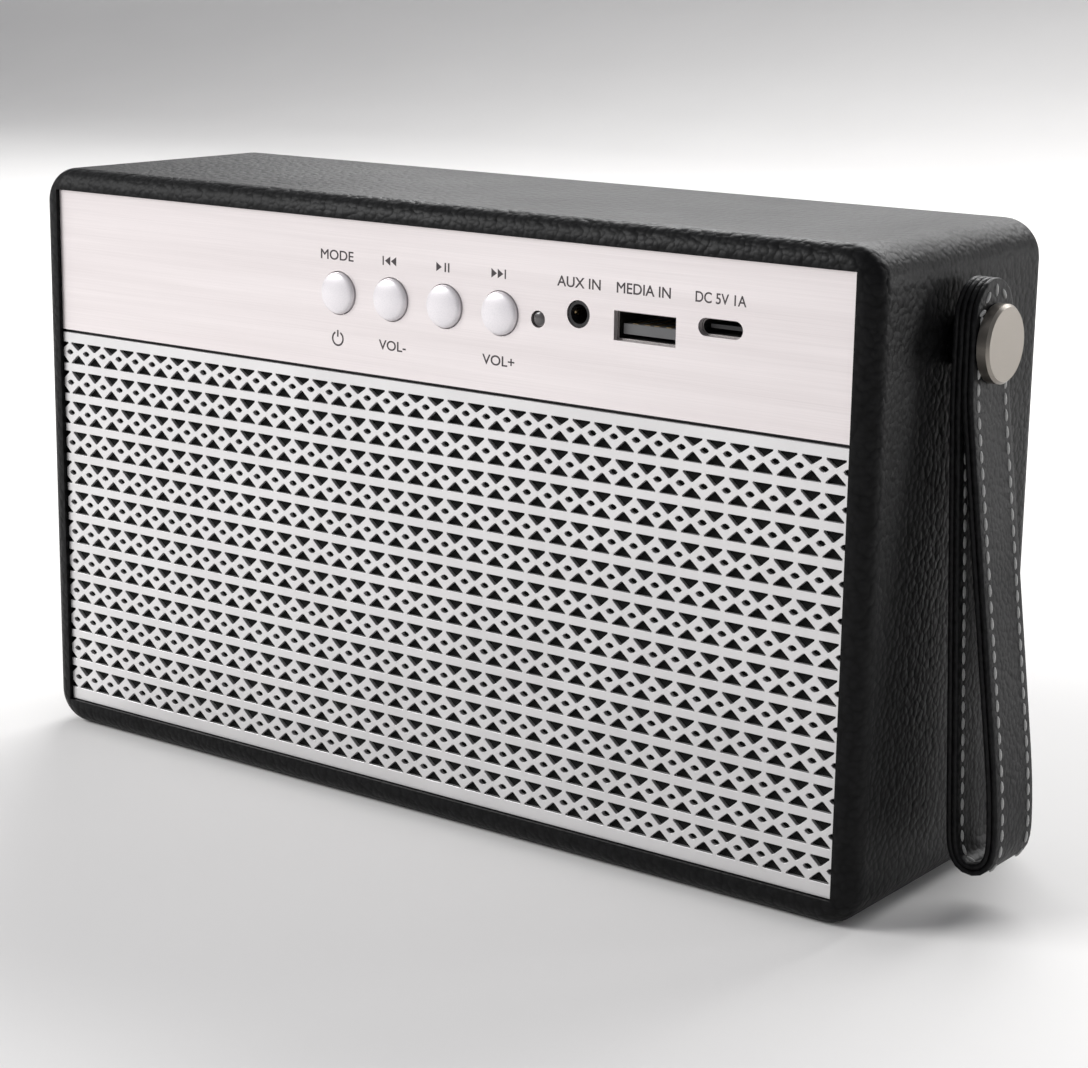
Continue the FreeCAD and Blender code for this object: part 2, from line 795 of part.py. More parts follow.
def cone(x):
    """Paper cone from the surround down to the coil former."""
    y0 = baffle_back
    y1 = y0 + cone_depth
    neck = coil_radius + coil_wall + glue_gap
    return turned([
        (cone_radius, y0), (cone_radius, y0 + cone_paper), (neck, y1 + cone_paper), (neck, y1),
    ], x, driver_z)


def dust_cap(x):
    """Shallow dome over the coil, its rim on the cone."""
    rim_y = baffle_back + cone_depth - cap_set_forward
    ball_radius = (cap_radius ** 2 + cap_height ** 2) / (2 * cap_height)
    centre = Vector(x, rim_y - cap_height + ball_radius, driver_z)
    shell = Part.makeSphere(ball_radius, centre).cut(Part.makeSphere(ball_radius - cone_paper, centre))
    return shell.common(rod(cap_radius, Vector(x, rim_y - cap_height - 1, driver_z), Y, cap_height + 1))


def surround(x):
    """Half-roll of rubber from the cone's edge to the flange."""
    middle = cone_radius + glue_gap + surround_width / 2
    y = baffle_back - seat_gap
    outer = surround_width / 2
    inner = outer - surround_rubber
    angles = [math.pi * i / 12 for i in range(13)]
    crest = [(middle + outer * math.cos(a), y - outer * math.sin(a)) for a in angles]
    under = [(middle + inner * math.cos(a), y - inner * math.sin(a)) for a in reversed(angles)]
    return turned(crest + under, x, driver_z)


def voice_coil(x):
    """Former and winding, from the cone's neck into the motor's gap."""
    y0 = baffle_back + cone_depth - coil_overlap
    y1 = y0 + coil_length
    r0 = coil_radius
    r1 = coil_radius + coil_wall
    return turned([(r0, y0), (r1, y0), (r1, y1), (r0, y1)], x, driver_z)


def spider(x):
    """Corrugated ring that centres the coil."""
    y = basket_floor - spider_step + spider_wave
    r0 = coil_radius + coil_wall + glue_gap
    run = basket_depth - basket_sheet - flange_plate
    flare = (basket_mouth - basket_waist) / run
    r1 = basket_waist + flare * (spider_step - basket_sheet - 2 * spider_wave) - glue_gap
    waves = 3
    steps = waves * 8
    top = []
    for i in range(steps + 1):
        r = r0 + (r1 - r0) * i / steps
        top.append((r, y + spider_wave * math.sin(2 * math.pi * waves * i / steps)))
    under = [(r, py + spider_thickness) for r, py in reversed(top)]
    return turned(top + under, x, driver_z)


def driver_lead(sign):
    """Lead from the basket's terminal up to the board."""
    x = sign * driver_spread
    start = Vector(x, baffle_back + 6, driver_z + driver_radius + 1)
    if sign < 0:
        end = header_mouth(left_header_x)
        low = end.z - lead_rise - lead_radius
        points = [start, Vector(x, start.y + 3, low), Vector(end.x, end.y, low), end]
    else:
        end = header_mouth(x)
        points = [start, Vector(x, start.y, start.z + lead_rise), Vector(x, end.y, end.z - lead_rise), end]
    return tube_along(points, lead_radius, lead_bend)


# ---- power ----
def cell_centre_z():
    return cavity_bottom + cradle_floor + cell_gap + cell_radius


def cell_centre_y():
    return gasket_inside - boss_length - cell_back_gap - cradle_wall - cell_gap - cell_radius


def battery_cell():
    """Round cell with a raised cap at its plus end."""
    can = rod(cell_radius, Vector(-cell_length / 2, cell_centre_y(), cell_centre_z()), X, cell_length)
    can = can.makeFillet(0.8, [e for e in can.Edges if isinstance(e.Curve, Part.Circle)])
    cap = rod(3.0, Vector(cell_length / 2 - 0.5, cell_centre_y(), cell_centre_z()), X, 1.4)
    return join(can, cap)


def battery_cradle():
    half = cell_length / 2 + 1.2
    width = cell_radius + cell_gap + cradle_wall
    outer = box(-half - cradle_wall, half + cradle_wall, cell_centre_y() - width, cell_centre_y() + width,
                cavity_bottom, cavity_bottom + cradle_grip)
    trough = rod(cell_radius + cell_gap, Vector(-half, cell_centre_y(), cell_centre_z()), X, 2 * half)
    return outer.cut(trough)


def battery_lead():
    end = header_mouth(battery_header_x)
    start = Vector(battery_header_x, cell_centre_y(), cell_centre_z() + cell_radius + 0.05)
    knee = end.z - 2 * lead_slope
    points = [start, Vector(start.x, start.y, knee), Vector(end.x, end.y, knee + lead_slope), end]
    return tube_along(points, lead_radius, lead_bend)


# ---- strap ----
def strap_stud():
    """Bevelled head outside the strap, with a post through it and the leather to the cabinet wall."""
    head_under = strap_outer + strap_side_gap
    head = rod(stud_radius, Vector(head_under, strap_y, stud_z), X, stud_head)
    rim = [e for e in head.Edges if abs(e.CenterOfMass.x - head_under - stud_head) < 1e-6]
    head = head.makeChamfer(stud_bevel, rim)
    collar = rod(collar_radius, Vector(side, strap_y, stud_z), X, strap_stand_off - strap_side_gap)
    wall_face = side - leather_thickness
    post = rod(post_radius, Vector(wall_face, strap_y, stud_z), X, head_under - wall_face + 0.5)
    thread = rod(strap_screw_radius, Vector(wall_face - 1, strap_y, stud_z), X, strap_screw_depth + 1)
    return join(head, post, collar).cut(thread)


def strap_screw():
    """Screw from inside the cabinet into the stud's post."""
    head = rod(screw_head_radius + 0.5, Vector(cavity_right - screw_head_height, strap_y, stud_z), X,
               screw_head_height)
    reach = side - leather_thickness + strap_screw_depth - 0.5 - cavity_right
    shank = rod(strap_screw_radius - seat_gap, Vector(cavity_right - 0.1, strap_y, stud_z), X, reach + 0.1)
    return join(head, shank)


def strap_end(x0):
    """One rounded end of the strap, flat against its neighbour, with the hole for the post."""
    half = strap_width / 2
    tip = stud_z + tip_above_stud
    centre = tip - half
    plate = box(x0, x0 + strap_thickness, strap_y - half, strap_y + half, hinge_z + hinge_slot / 2, centre)
    arc = rod(half, Vector(x0, strap_y, centre), X, strap_thickness)
    return join(plate, arc)


def strap_ends():
    """Both ends, stacked on the stud's post."""
    inner = strap_end(strap_inner)
    outer = strap_end(strap_inner + strap_thickness + ply_gap)
    ply_face = Vector(strap_inner + strap_thickness - 0.2, strap_y, stud_z)
    glue = rod(post_radius + 1.5, ply_face, X, ply_gap + 0.4)
    hole = rod(post_radius + post_gap, Vector(strap_inner - 1, strap_y, stud_z), X, 2 * strap_thickness + 3)
    return join(inner, outer, glue).cut(hole)


def run_outline(offset):
    """Half of the loop's outline in the xz plane: the strap's middle line moved outwards by offset."""
    radius = loop_bend + offset
    bend_x = side + loop_out
    bend_z = loop_bottom + strap_thickness / 2 + loop_bend
    top_z = hinge_z - hinge_slot / 2
    inner_top = strap_inner + strap_thickness / 2 - offset
    outer_top = strap_outer - strap_thickness / 2 + offset
    bow = outer_bow + offset
    bow_x = bend_x + radius - bow
    lean = math.acos((outer_top - bow_x) / math.hypot(outer_top - bow_x, top_z - bend_z))
    lean -= math.acos(bow / math.hypot(outer_top - bow_x, top_z - bend_z))
    bow_start = Vector(bow_x + bow * math.cos(lean), 0, bend_z + bow * math.sin(lean))
    bow_middle = Vector(bow_x + bow * math.cos(lean / 2), 0, bend_z + bow * math.sin(lean / 2))
    low_right = Vector(bend_x + radius, 0, bend_z)
    run = Vector(inner_top - bend_x, 0, top_z - bend_z)
    tilt = math.atan2(run.z, run.x) + math.acos(radius / run.Length)
    low_left = Vector(bend_x + radius * math.cos(tilt), 0, bend_z + radius * math.sin(tilt))
    turn = (tilt - 2 * math.pi) / 2
    low = Vector(bend_x + radius * math.cos(turn), 0, bend_z + radius * math.sin(turn))
    tops = Vector(outer_top, 0, top_z), Vector(inner_top, 0, top_z)
    return tops, bow_start, bow_middle, low_right, low, low_left


def hand_strap():
    """The hanging loop: out from the stud, round a bend at the bottom and back up inside."""
    shapes = []
    for offset in (strap_thickness / 2, -strap_thickness / 2):
        (outer_top, inner_top), bow_start, bow_middle, low_right, low, low_left = run_outline(offset)
        edges = [
            Part.makeLine(outer_top, bow_start),
            Part.Arc(bow_start, bow_middle, low_right).toShape(),
            Part.Arc(low_right, low, low_left).toShape(),
            Part.makeLine(low_left, inner_top),
            Part.makeLine(inner_top, outer_top),
        ]
        start = Vector(0, strap_y - strap_width / 2, 0)
        face = Part.Face(Part.Wire(edges))
        face.translate(start)
        shapes.append(face.extrude(Vector(0, strap_width, 0)))
    return shapes[0].cut(shapes[1])


# ---- the whole set ----
nodes = {
    "leather_cover": leather_cover(),
    "cabinet": cabinet(),
    "front_baffle": front_baffle(),
    "rear_cover": rear_cover(),
    "rear_gasket": rear_gasket(),
    "rear_screws": rear_screws(),
    "control_panel": control_panel(),
    "speaker_grille": speaker_grille(),
    "grille_cloth": grille_cloth(),
    "button_guide": button_guide(),
    "status_lens": status_lens(),
    "status_led": status_led(),
    "aux_jack": aux_jack(),
    "media_socket": media_socket(),
    "media_tongue": media_tongue(),
    "charging_socket": charging_socket(),
    "charging_tongue": charging_tongue(),
    "main_board": main_board(),
    "board_screws": board_screws(),
    "radio_module": radio_module(),
    "amplifier": amplifier(),
    "capacitors": capacitors(),
    "board_headers": board_headers(),
    "battery_cell": battery_cell(),
    "battery_cradle": battery_cradle(),
    "battery_lead": battery_lead(),
    "driver_screws": driver_screws(),
    "strap_stud": strap_stud(),
    "strap_screw": strap_screw(),
    "strap_ends": strap_ends(),
    "hand_strap": hand_strap(),
}
for number, name in enumerate(button_names):
    nodes["button_" + name] = button(number)
    nodes["plunger_" + name] = plunger(number)
    nodes["switch_" + name] = switch(number)
for sign, name in ((-1, "left"), (1, "right")):
    place = sign * driver_spread
    nodes["basket_" + name] = basket(place)
    nodes["motor_" + name] = motor(place)
    nodes["cone_" + name] = cone(place)
    nodes["dust_cap_" + name] = dust_cap(place)
    nodes["surround_" + name] = surround(place)
    nodes["voice_coil_" + name] = voice_coil(place)
    nodes["spider_" + name] = spider(place)
    nodes["lead_" + name] = driver_lead(sign)

for name, shape in nodes.items():
    shape.exportStep("parts/" + name + ".step")
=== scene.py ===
"""Looks of the leather portable radio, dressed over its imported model, in metres."""
import math

import bmesh
import bpy
from mathutils import Matrix, Vector


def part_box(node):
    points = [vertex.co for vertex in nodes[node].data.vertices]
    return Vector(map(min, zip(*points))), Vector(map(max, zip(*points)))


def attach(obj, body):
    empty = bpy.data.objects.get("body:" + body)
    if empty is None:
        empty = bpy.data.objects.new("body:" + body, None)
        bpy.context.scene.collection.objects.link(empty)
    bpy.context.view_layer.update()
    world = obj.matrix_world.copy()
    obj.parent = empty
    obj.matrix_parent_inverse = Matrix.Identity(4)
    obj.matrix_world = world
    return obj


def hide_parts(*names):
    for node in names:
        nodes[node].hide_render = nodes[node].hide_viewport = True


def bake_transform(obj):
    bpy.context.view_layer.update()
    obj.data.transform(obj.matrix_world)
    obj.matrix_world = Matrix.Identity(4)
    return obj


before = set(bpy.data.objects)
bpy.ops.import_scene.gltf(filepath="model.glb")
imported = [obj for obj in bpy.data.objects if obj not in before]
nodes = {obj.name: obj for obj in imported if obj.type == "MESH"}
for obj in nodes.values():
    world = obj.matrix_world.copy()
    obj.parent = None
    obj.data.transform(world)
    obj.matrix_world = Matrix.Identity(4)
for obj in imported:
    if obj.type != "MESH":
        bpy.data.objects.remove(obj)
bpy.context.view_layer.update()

# ---- cabinet ----
# The cabinet is an injection-moulded ABS box, open at the front and the back.
# The tool was spark-eroded, which leaves a fine matt texture on every face.
MM = 0.001


def node(tree, kind, inputs, **settings):
    """Adds a node: settings are its options, inputs are plain values or the sockets that feed it."""
    made = tree.nodes.new(kind)
    for name, value in settings.items():
        setattr(made, name, value)
    for key, value in inputs.items():
        if isinstance(value, bpy.types.NodeSocket):
            tree.links.new(value, made.inputs[key])
        else:
            made.inputs[key].default_value = value
    return made


def start_effect(name, takes, gives):
    """A node group with named float or vector inputs and float outputs."""
    tree = bpy.data.node_groups.new(name, "ShaderNodeTree")
    for socket, value in takes.items():
        kind = "NodeSocketVector" if value is None else "NodeSocketFloat"
        made = tree.interface.new_socket(socket, in_out="INPUT", socket_type=kind)
        if value is not None:
            made.default_value = value
    for socket in gives:
        tree.interface.new_socket(socket, in_out="OUTPUT", socket_type="NodeSocketFloat")
    return tree, tree.nodes.new("NodeGroupInput").outputs, tree.nodes.new("NodeGroupOutput").inputs


def effect(tree, group, **inputs):
    """Places a group in a material, with its own values."""
    made = tree.nodes.new("ShaderNodeGroup")
    made.node_tree = group
    for name, value in inputs.items():
        if isinstance(value, bpy.types.NodeSocket):
            tree.links.new(value, made.inputs[name])
        else:
            made.inputs[name].default_value = value
    return made.outputs


def calc(tree, operation, first, second=0.0, third=0.0):
    """One step of arithmetic between sockets or plain numbers."""
    return node(tree, "ShaderNodeMath", {0: first, 1: second, 2: third}, operation=operation).outputs[0]


def blend_tones(tree, share, low, high):
    """A colour between two tones."""
    made = node(tree, "ShaderNodeMix", {0: share, 6: low + (1.0,), 7: high + (1.0,)}, data_type="RGBA")
    return made.outputs[2]


def new_finish(name, **sockets):
    """A material: its node tree, its shader with the plain values set, and the object's coordinates."""
    material = bpy.data.materials.new(name)
    material.use_nodes = True
    tree = material.node_tree
    shader = tree.nodes["Principled BSDF"]
    for key, value in sockets.items():
        shader.inputs[key.replace("_", " ")].default_value = value
    return material, tree, shader.inputs, tree.nodes.new("ShaderNodeTexCoord").outputs["Object"]


def raise_surface(tree, shader, height, depth):
    """Feeds a height, from 0 to 1 over depth metres, to the shader's normal."""
    bump = node(tree, "ShaderNodeBump", {"Height": height, "Distance": depth, "Strength": 1.0})
    tree.links.new(bump.outputs[0], shader["Normal"])


def feed(tree, shader, **sockets):
    """Links sockets to the shader's inputs of that name."""
    for key, value in sockets.items():
        tree.links.new(value, shader[key.replace("_", " ")])


def dress(material, *names):
    """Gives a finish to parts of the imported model."""
    for name in names:
        for place in nodes[name].material_slots:
            place.material = material


# the mould's matt texture, with the tone that handling leaves on it
moulded, takes, gives = start_effect("moulded_texture", {"Vector": None, "Pits": 2600.0}, ["Height", "Tone"])
pits = node(moulded, "ShaderNodeTexNoise",
            {"Vector": takes["Vector"], "Scale": takes["Pits"], "Detail": 3.0, "Roughness": 0.6})
patches = node(moulded, "ShaderNodeTexNoise", {"Vector": takes["Vector"], "Scale": 45.0, "Detail": 4.0})
moulded.links.new(pits.outputs["Fac"], gives["Height"])
moulded.links.new(patches.outputs["Fac"], gives["Tone"])


def moulded_plastic(name, dark, light, roughness, pits=2600.0, depth=0.03 * MM):
    """A moulded plastic between two tones."""
    material, tree, shader, place = new_finish(name, Specular_IOR_Level=0.45)
    skin = effect(tree, moulded, Vector=place, Pits=pits)
    feed(tree, shader, Base_Color=blend_tones(tree, skin["Tone"], dark, light),
         Roughness=calc(tree, "MULTIPLY_ADD", skin["Tone"], 0.2, roughness - 0.1))
    raise_surface(tree, shader, skin["Height"], depth)
    return material


case_plastic = moulded_plastic("case_plastic", (0.011, 0.011, 0.012), (0.022, 0.022, 0.023), 0.55)
dress(case_plastic, "cabinet", "front_baffle", "button_guide", "battery_cradle")

# ---- speaker drivers ----
# Two full-range drivers: a pressed steel basket, a ferrite motor, a paper cone with a dust cap,
# a rolled rubber surround and a corrugated cloth spider that centres the copper voice coil.


def turned_about(tree, place, centre_x, centre_z):
    """Distance from a driver's axis, for patterns that run round it."""
    centred = node(tree, "ShaderNodeMapping", {"Vector": place, "Location": (-centre_x, 0.0, -centre_z)})
    across = node(tree, "ShaderNodeSeparateXYZ", {0: centred.outputs[0]}).outputs
    away = calc(tree, "POWER", across["X"], 2.0)
    up = calc(tree, "POWER", across["Z"], 2.0)
    return calc(tree, "SQRT", calc(tree, "ADD", away, up))


def fibre_finish(name, dark, light, roughness, strand, depth):
    """Pressed fibre: paper pulp, cloth or foam, as matted strands."""
    material, tree, shader, place = new_finish(name, Specular_IOR_Level=0.25, Sheen_Weight=0.15)
    strands = node(tree, "ShaderNodeTexNoise",
                   {"Vector": place, "Scale": strand, "Detail": 5.0, "Roughness": 0.75, "Distortion": 1.5})
    tone = strands.outputs["Fac"]
    feed(tree, shader, Base_Color=blend_tones(tree, tone, dark, light),
         Roughness=calc(tree, "MULTIPLY_ADD", tone, 0.15, roughness))
    raise_surface(tree, shader, tone, depth)
    return material


def ringed_finish(name, dark, light, roughness, side_name, depth):
    """Fine rings about a driver's axis, over a tone that drifts."""
    low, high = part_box("cone_" + side_name)
    middle = (low + high) / 2
    material, tree, shader, place = new_finish(name, Specular_IOR_Level=0.4)
    radius = turned_about(tree, place, middle.x, middle.z)
    rings = calc(tree, "PINGPONG", radius, 0.35 * MM)
    rings = calc(tree, "DIVIDE", rings, 0.35 * MM)
    drift = effect(tree, moulded, Vector=place, Pits=1500.0)
    tone = calc(tree, "MULTIPLY", drift["Height"], calc(tree, "MULTIPLY_ADD", rings, 0.4, 0.6))
    feed(tree, shader, Base_Color=blend_tones(tree, tone, dark, light),
         Roughness=calc(tree, "MULTIPLY_ADD", drift["Tone"], 0.15, roughness))
    raise_surface(tree, shader, rings, depth)
    return material


basket_paint = moulded_plastic("basket_paint", (0.016, 0.016, 0.017), (0.035, 0.035, 0.036), 0.42, 1800.0)
motor_steel = moulded_plastic("motor_steel", (0.045, 0.045, 0.048), (0.085, 0.085, 0.09), 0.45, 3200.0)
cone_paper = fibre_finish("cone_paper", (0.015, 0.015, 0.016), (0.05, 0.05, 0.052), 0.75, 1400.0, 0.06 * MM)
for name in ("left", "right"):
    dress(basket_paint, "basket_" + name)
    dress(motor_steel, "motor_" + name)
    dress(cone_paper, "cone_" + name, "dust_cap_" + name)
    rubber = ringed_finish("surround_rubber_" + name, (0.010, 0.010, 0.010), (0.025, 0.025, 0.026), 0.5,
                           name, 0.01 * MM)
    dress(rubber, "surround_" + name)
    spider = ringed_finish("spider_cloth_" + name, (0.16, 0.10, 0.035), (0.36, 0.24, 0.10), 0.8, name, 0.04 * MM)
    dress(spider, "spider_" + name)
    copper = ringed_finish("coil_copper_" + name, (0.45, 0.16, 0.07), (0.8, 0.36, 0.18), 0.3, name, 0.01 * MM)
    dress(copper, "voice_coil_" + name)

# ---- circuit board, battery and leads ----
# A glass-fibre laminate under green lacquer carries a shielded radio module, an amplifier, can capacitors
# and nylon headers. A steel lithium cell sits in a moulded cradle, and silicone leads join them.
board_laminate = moulded_plastic("board_laminate", (0.006, 0.07, 0.028), (0.012, 0.14, 0.055), 0.35, 900.0)
chip_plastic = moulded_plastic("chip_plastic", (0.010, 0.010, 0.011), (0.02, 0.02, 0.022), 0.5, 4000.0)
header_plastic = moulded_plastic("header_plastic", (0.68, 0.64, 0.54), (0.78, 0.75, 0.66), 0.45, 1500.0)
lead_rubber = moulded_plastic("lead_rubber", (0.30, 0.012, 0.010), (0.45, 0.03, 0.022), 0.5, 2200.0)
cell_can = moulded_plastic("cell_can", (0.03, 0.13, 0.28), (0.05, 0.19, 0.38), 0.3, 1200.0, 0.01 * MM)
capacitor_can = moulded_plastic("capacitor_can", (0.012, 0.014, 0.03), (0.03, 0.035, 0.07), 0.3, 1600.0)
dress(board_laminate, "main_board")
dress(chip_plastic, "amplifier")
dress(header_plastic, "board_headers")
dress(lead_rubber, "battery_lead", "lead_left", "lead_right")
dress(cell_can, "battery_cell")
dress(capacitor_can, "capacitors")

# ---- acoustic cloth ----
# A black polyester knit, stretched over the baffle and clamped by the grille's edge.
# Its plain weave is just open enough to breathe.
acoustic_cloth, tree, shader, place = new_finish("acoustic_cloth", Specular_IOR_Level=0.1, Sheen_Weight=0.05)
yarn_pitch = 0.55 * MM
thread = node(tree, "ShaderNodeSeparateXYZ", {0: place}).outputs
warp = calc(tree, "SINE", calc(tree, "MULTIPLY", thread["X"], 2 * math.pi / yarn_pitch))
weft = calc(tree, "SINE", calc(tree, "MULTIPLY", thread["Z"], 2 * math.pi / yarn_pitch))
weave = calc(tree, "MULTIPLY_ADD", calc(tree, "MULTIPLY", warp, weft), 0.5, 0.5)
feed(tree, shader, Base_Color=blend_tones(tree, weave, (0.002, 0.002, 0.002), (0.012, 0.012, 0.012)),
     Roughness=calc(tree, "MULTIPLY_ADD", weave, 0.1, 0.85))
raise_surface(tree, shader, weave, 0.12 * MM)
dress(acoustic_cloth, "grille_cloth")

# ---- speaker grille ----
# A steel sheet, punched with rows of facing triangles and small rounded eyes between them,
# then blasted and plated a bright satin silver. Its sides are cut straight through the pattern.
cell_wide = 4.785 * MM
cell_high = 6.42 * MM
first_eye_x = -92.5 * MM
row_count, column_count = 12, 40
base_z = 2.38 * MM                # a triangle's base, off the row's middle
row_crop = 0.33 * MM              # the top row's triangles are this much shorter
corner_z = 2.0 * MM               # a triangle's corners lie beyond this, off the row's middle
sheet_low, sheet_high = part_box("speaker_grille")
first_row_z = sheet_low.z + 2.6 * MM + base_z

grille = bmesh.new()
quarter = [(0.95, 0), (2.3925, 0), (2.3925, 0.50), (2.14, 0.60), (0.46, 2.10), (0.50, 2.38), (2.3925, 2.38),
           (2.3925, 3.21), (0, 3.21), (0, 0.57), (0.58, 0.38)]
grille.faces.new([grille.verts.new((x * MM, sheet_low.y, z * MM)) for x, z in quarter])
for axis in ("X", "Z"):
    bmesh.ops.mirror(grille, geom=grille.verts[:] + grille.edges[:] + grille.faces[:],
                     matrix=Matrix.Identity(4), merge_dist=0.001 * MM, axis=axis)
for count, step in ((column_count, (cell_wide, 0, 0)), (row_count, (0, 0, cell_high))):
    stamp = grille.verts[:] + grille.edges[:] + grille.faces[:]
    for number in range(1, count):
        copy = bmesh.ops.duplicate(grille, geom=stamp)["geom"]
        bmesh.ops.translate(grille, verts=[v for v in copy if isinstance(v, bmesh.types.BMVert)],
                            vec=Vector(step) * number)
bmesh.ops.remove_doubles(grille, verts=grille.verts[:], dist=0.01 * MM)
bmesh.ops.translate(grille, verts=grille.verts[:], vec=(first_eye_x, 0, first_row_z))
last_row_z = first_row_z + (row_count - 1) * cell_high
for v in grille.verts:
    if v.co.z < first_row_z - base_z - 0.1 * MM:
        v.co.z = sheet_low.z
    elif v.co.z > last_row_z + base_z + 0.1 * MM:
        v.co.z = sheet_high.z
    elif v.co.z > last_row_z + corner_z:
        v.co.z -= row_crop
for x, facing in ((sheet_low.x, -1), (sheet_high.x, 1)):
    bmesh.ops.bisect_plane(grille, geom=grille.verts[:] + grille.edges[:] + grille.faces[:], dist=1e-7,
                           plane_co=(x, 0, 0), plane_no=(facing, 0, 0), clear_outer=True)
sheet_thickness = sheet_high.y - sheet_low.y
walls = bmesh.ops.extrude_face_region(grille, geom=grille.faces[:], use_keep_orig=True)["geom"]
bmesh.ops.translate(grille, verts=[v for v in walls if isinstance(v, bmesh.types.BMVert)],
                    vec=(0, sheet_thickness, 0))
bmesh.ops.recalc_face_normals(grille, faces=grille.faces[:])
front_rims = [e for e in grille.edges if e.is_manifold and e.calc_face_angle() > 1.0
              and max(v.co.y for v in e.verts) < sheet_low.y + 0.01 * MM]
bmesh.ops.bevel(grille, geom=front_rims, offset=0.07 * MM, affect="EDGES", segments=1, profile=0.5, material=-1)


def make_piece(name, mesh_form, material, sharp=35.0):
    """Turns a finished bmesh into a piece, smooth where its faces meet at less than the sharp angle."""
    mesh = bpy.data.meshes.new(name)
    mesh_form.to_mesh(mesh)
    mesh_form.free()
    mesh.shade_smooth()
    mesh.set_sharp_from_angle(angle=math.radians(sharp))
    mesh.materials.append(material)
    made = bpy.data.objects.new(name, mesh)
    bpy.context.scene.collection.objects.link(made)
    return made


grille_metal, tree, shader, place = new_finish("grille_metal", Metallic=0.75, Specular_IOR_Level=0.5)
skin = effect(tree, moulded, Vector=place, Pits=3500.0)
feed(tree, shader, Base_Color=blend_tones(tree, skin["Tone"], (0.63, 0.62, 0.62), (0.77, 0.76, 0.76)),
     Roughness=calc(tree, "MULTIPLY_ADD", skin["Tone"], 0.16, 0.34))
raise_surface(tree, shader, skin["Height"], 0.006 * MM)
grille_piece = make_piece("grille_sheet", grille, grille_metal, sharp=25.0)
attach(grille_piece, "case")
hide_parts("speaker_grille")

# ---- control panel ----
# A plate of aluminium, brushed from end to end and clear anodised, glued to the baffle.
# The keys' and sockets' names are screen printed on it in dark grey ink.
brushed, takes, gives = start_effect("brushed_metal", {"Vector": None}, ["Height", "Tone"])
streaks = node(brushed, "ShaderNodeMapping", {"Vector": takes["Vector"], "Scale": (28.0, 400.0, 5200.0)})
lines = node(brushed, "ShaderNodeTexNoise",
             {"Vector": streaks.outputs[0], "Scale": 1.0, "Detail": 4.0, "Roughness": 0.65})
bands = node(brushed, "ShaderNodeMapping", {"Vector": takes["Vector"], "Scale": (9.0, 100.0, 260.0)})
drift = node(brushed, "ShaderNodeTexNoise", {"Vector": bands.outputs[0], "Scale": 1.0, "Detail": 3.0})
brushed.links.new(lines.outputs["Fac"], gives["Height"])
brushed.links.new(calc(brushed, "MULTIPLY_ADD", calc(brushed, "SUBTRACT", lines.outputs["Fac"], 0.5), 0.7,
                       drift.outputs["Fac"]), gives["Tone"])
panel_aluminium, tree, shader, place = new_finish("panel_aluminium", Metallic=0.85, Anisotropic=0.4)
grain = effect(tree, brushed, Vector=place)
feed(tree, shader, Base_Color=blend_tones(tree, grain["Tone"], (0.69, 0.635, 0.635), (0.92, 0.865, 0.865)),
     Roughness=calc(tree, "MULTIPLY_ADD", grain["Tone"], 0.2, 0.32))
raise_surface(tree, shader, grain["Height"], 0.004 * MM)
dress(panel_aluminium, "control_panel")

panel_low, panel_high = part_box("control_panel")
ink_thickness = 0.012 * MM
word_height = 1.9 * MM
upper_words_z = panel_high.z - 6.95 * MM
lower_words_z = panel_high.z - 22.9 * MM
printing = bmesh.new()


def middle_of(name):
    """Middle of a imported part's box."""
    low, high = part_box(name)
    return (low + high) / 2


def on_panel(x, z):
    """Turns a form drawn flat in XY to stand on the panel's face, its middle at x, z."""
    return Matrix.Translation((x, panel_low.y, z)) @ Matrix.Rotation(math.pi / 2, 4, "X")


def print_word(word, x, z, width):
    """Prints a word, as wide as given, with its middle at x, z."""
    curve = bpy.data.curves.new("word", "FONT")
    curve.body = word
    curve.align_x, curve.align_y = "CENTER", "CENTER"
    curve.extrude, curve.bevel_depth, curve.bevel_resolution = 0.5, 0.012, 0
    holder = bpy.data.objects.new("word", curve)
    mesh = bpy.data.meshes.new_from_object(holder)
    xs, ys = [v.co.x for v in mesh.vertices], [v.co.y for v in mesh.vertices]
    size = (width / (max(xs) - min(xs)), word_height / (max(ys) - min(ys)), 2 * ink_thickness)
    mesh.transform(Matrix.Translation((-(max(xs) + min(xs)) / 2, -(max(ys) + min(ys)) / 2, 0)))
    mesh.transform(on_panel(x, z) @ Matrix.Diagonal(size + (1,)))
    printing.from_mesh(mesh)
    bpy.data.objects.remove(holder)
    bpy.data.meshes.remove(mesh)


def print_arrow(x, z, facing):
    """Prints a small filled arrowhead that points left or right."""
    head = bmesh.ops.create_cone(printing, cap_ends=True, segments=3, radius1=1.0 * MM, radius2=1.0 * MM,
                                 depth=2 * ink_thickness)["verts"]
    turn = Matrix.Rotation(-facing * math.pi / 2, 4, "Z")
    bmesh.ops.transform(printing, verts=head, matrix=on_panel(x, z) @ turn @ Matrix.Diagonal((1, 0.85, 1, 1)))


def print_bar(x, z, wide, high):
    """Prints an upright bar."""
    bar = bmesh.ops.create_cube(printing, size=1.0)["verts"]
    bmesh.ops.transform(printing, verts=bar,
                        matrix=on_panel(x, z) @ Matrix.Diagonal((wide, high, 2 * ink_thickness, 1)))


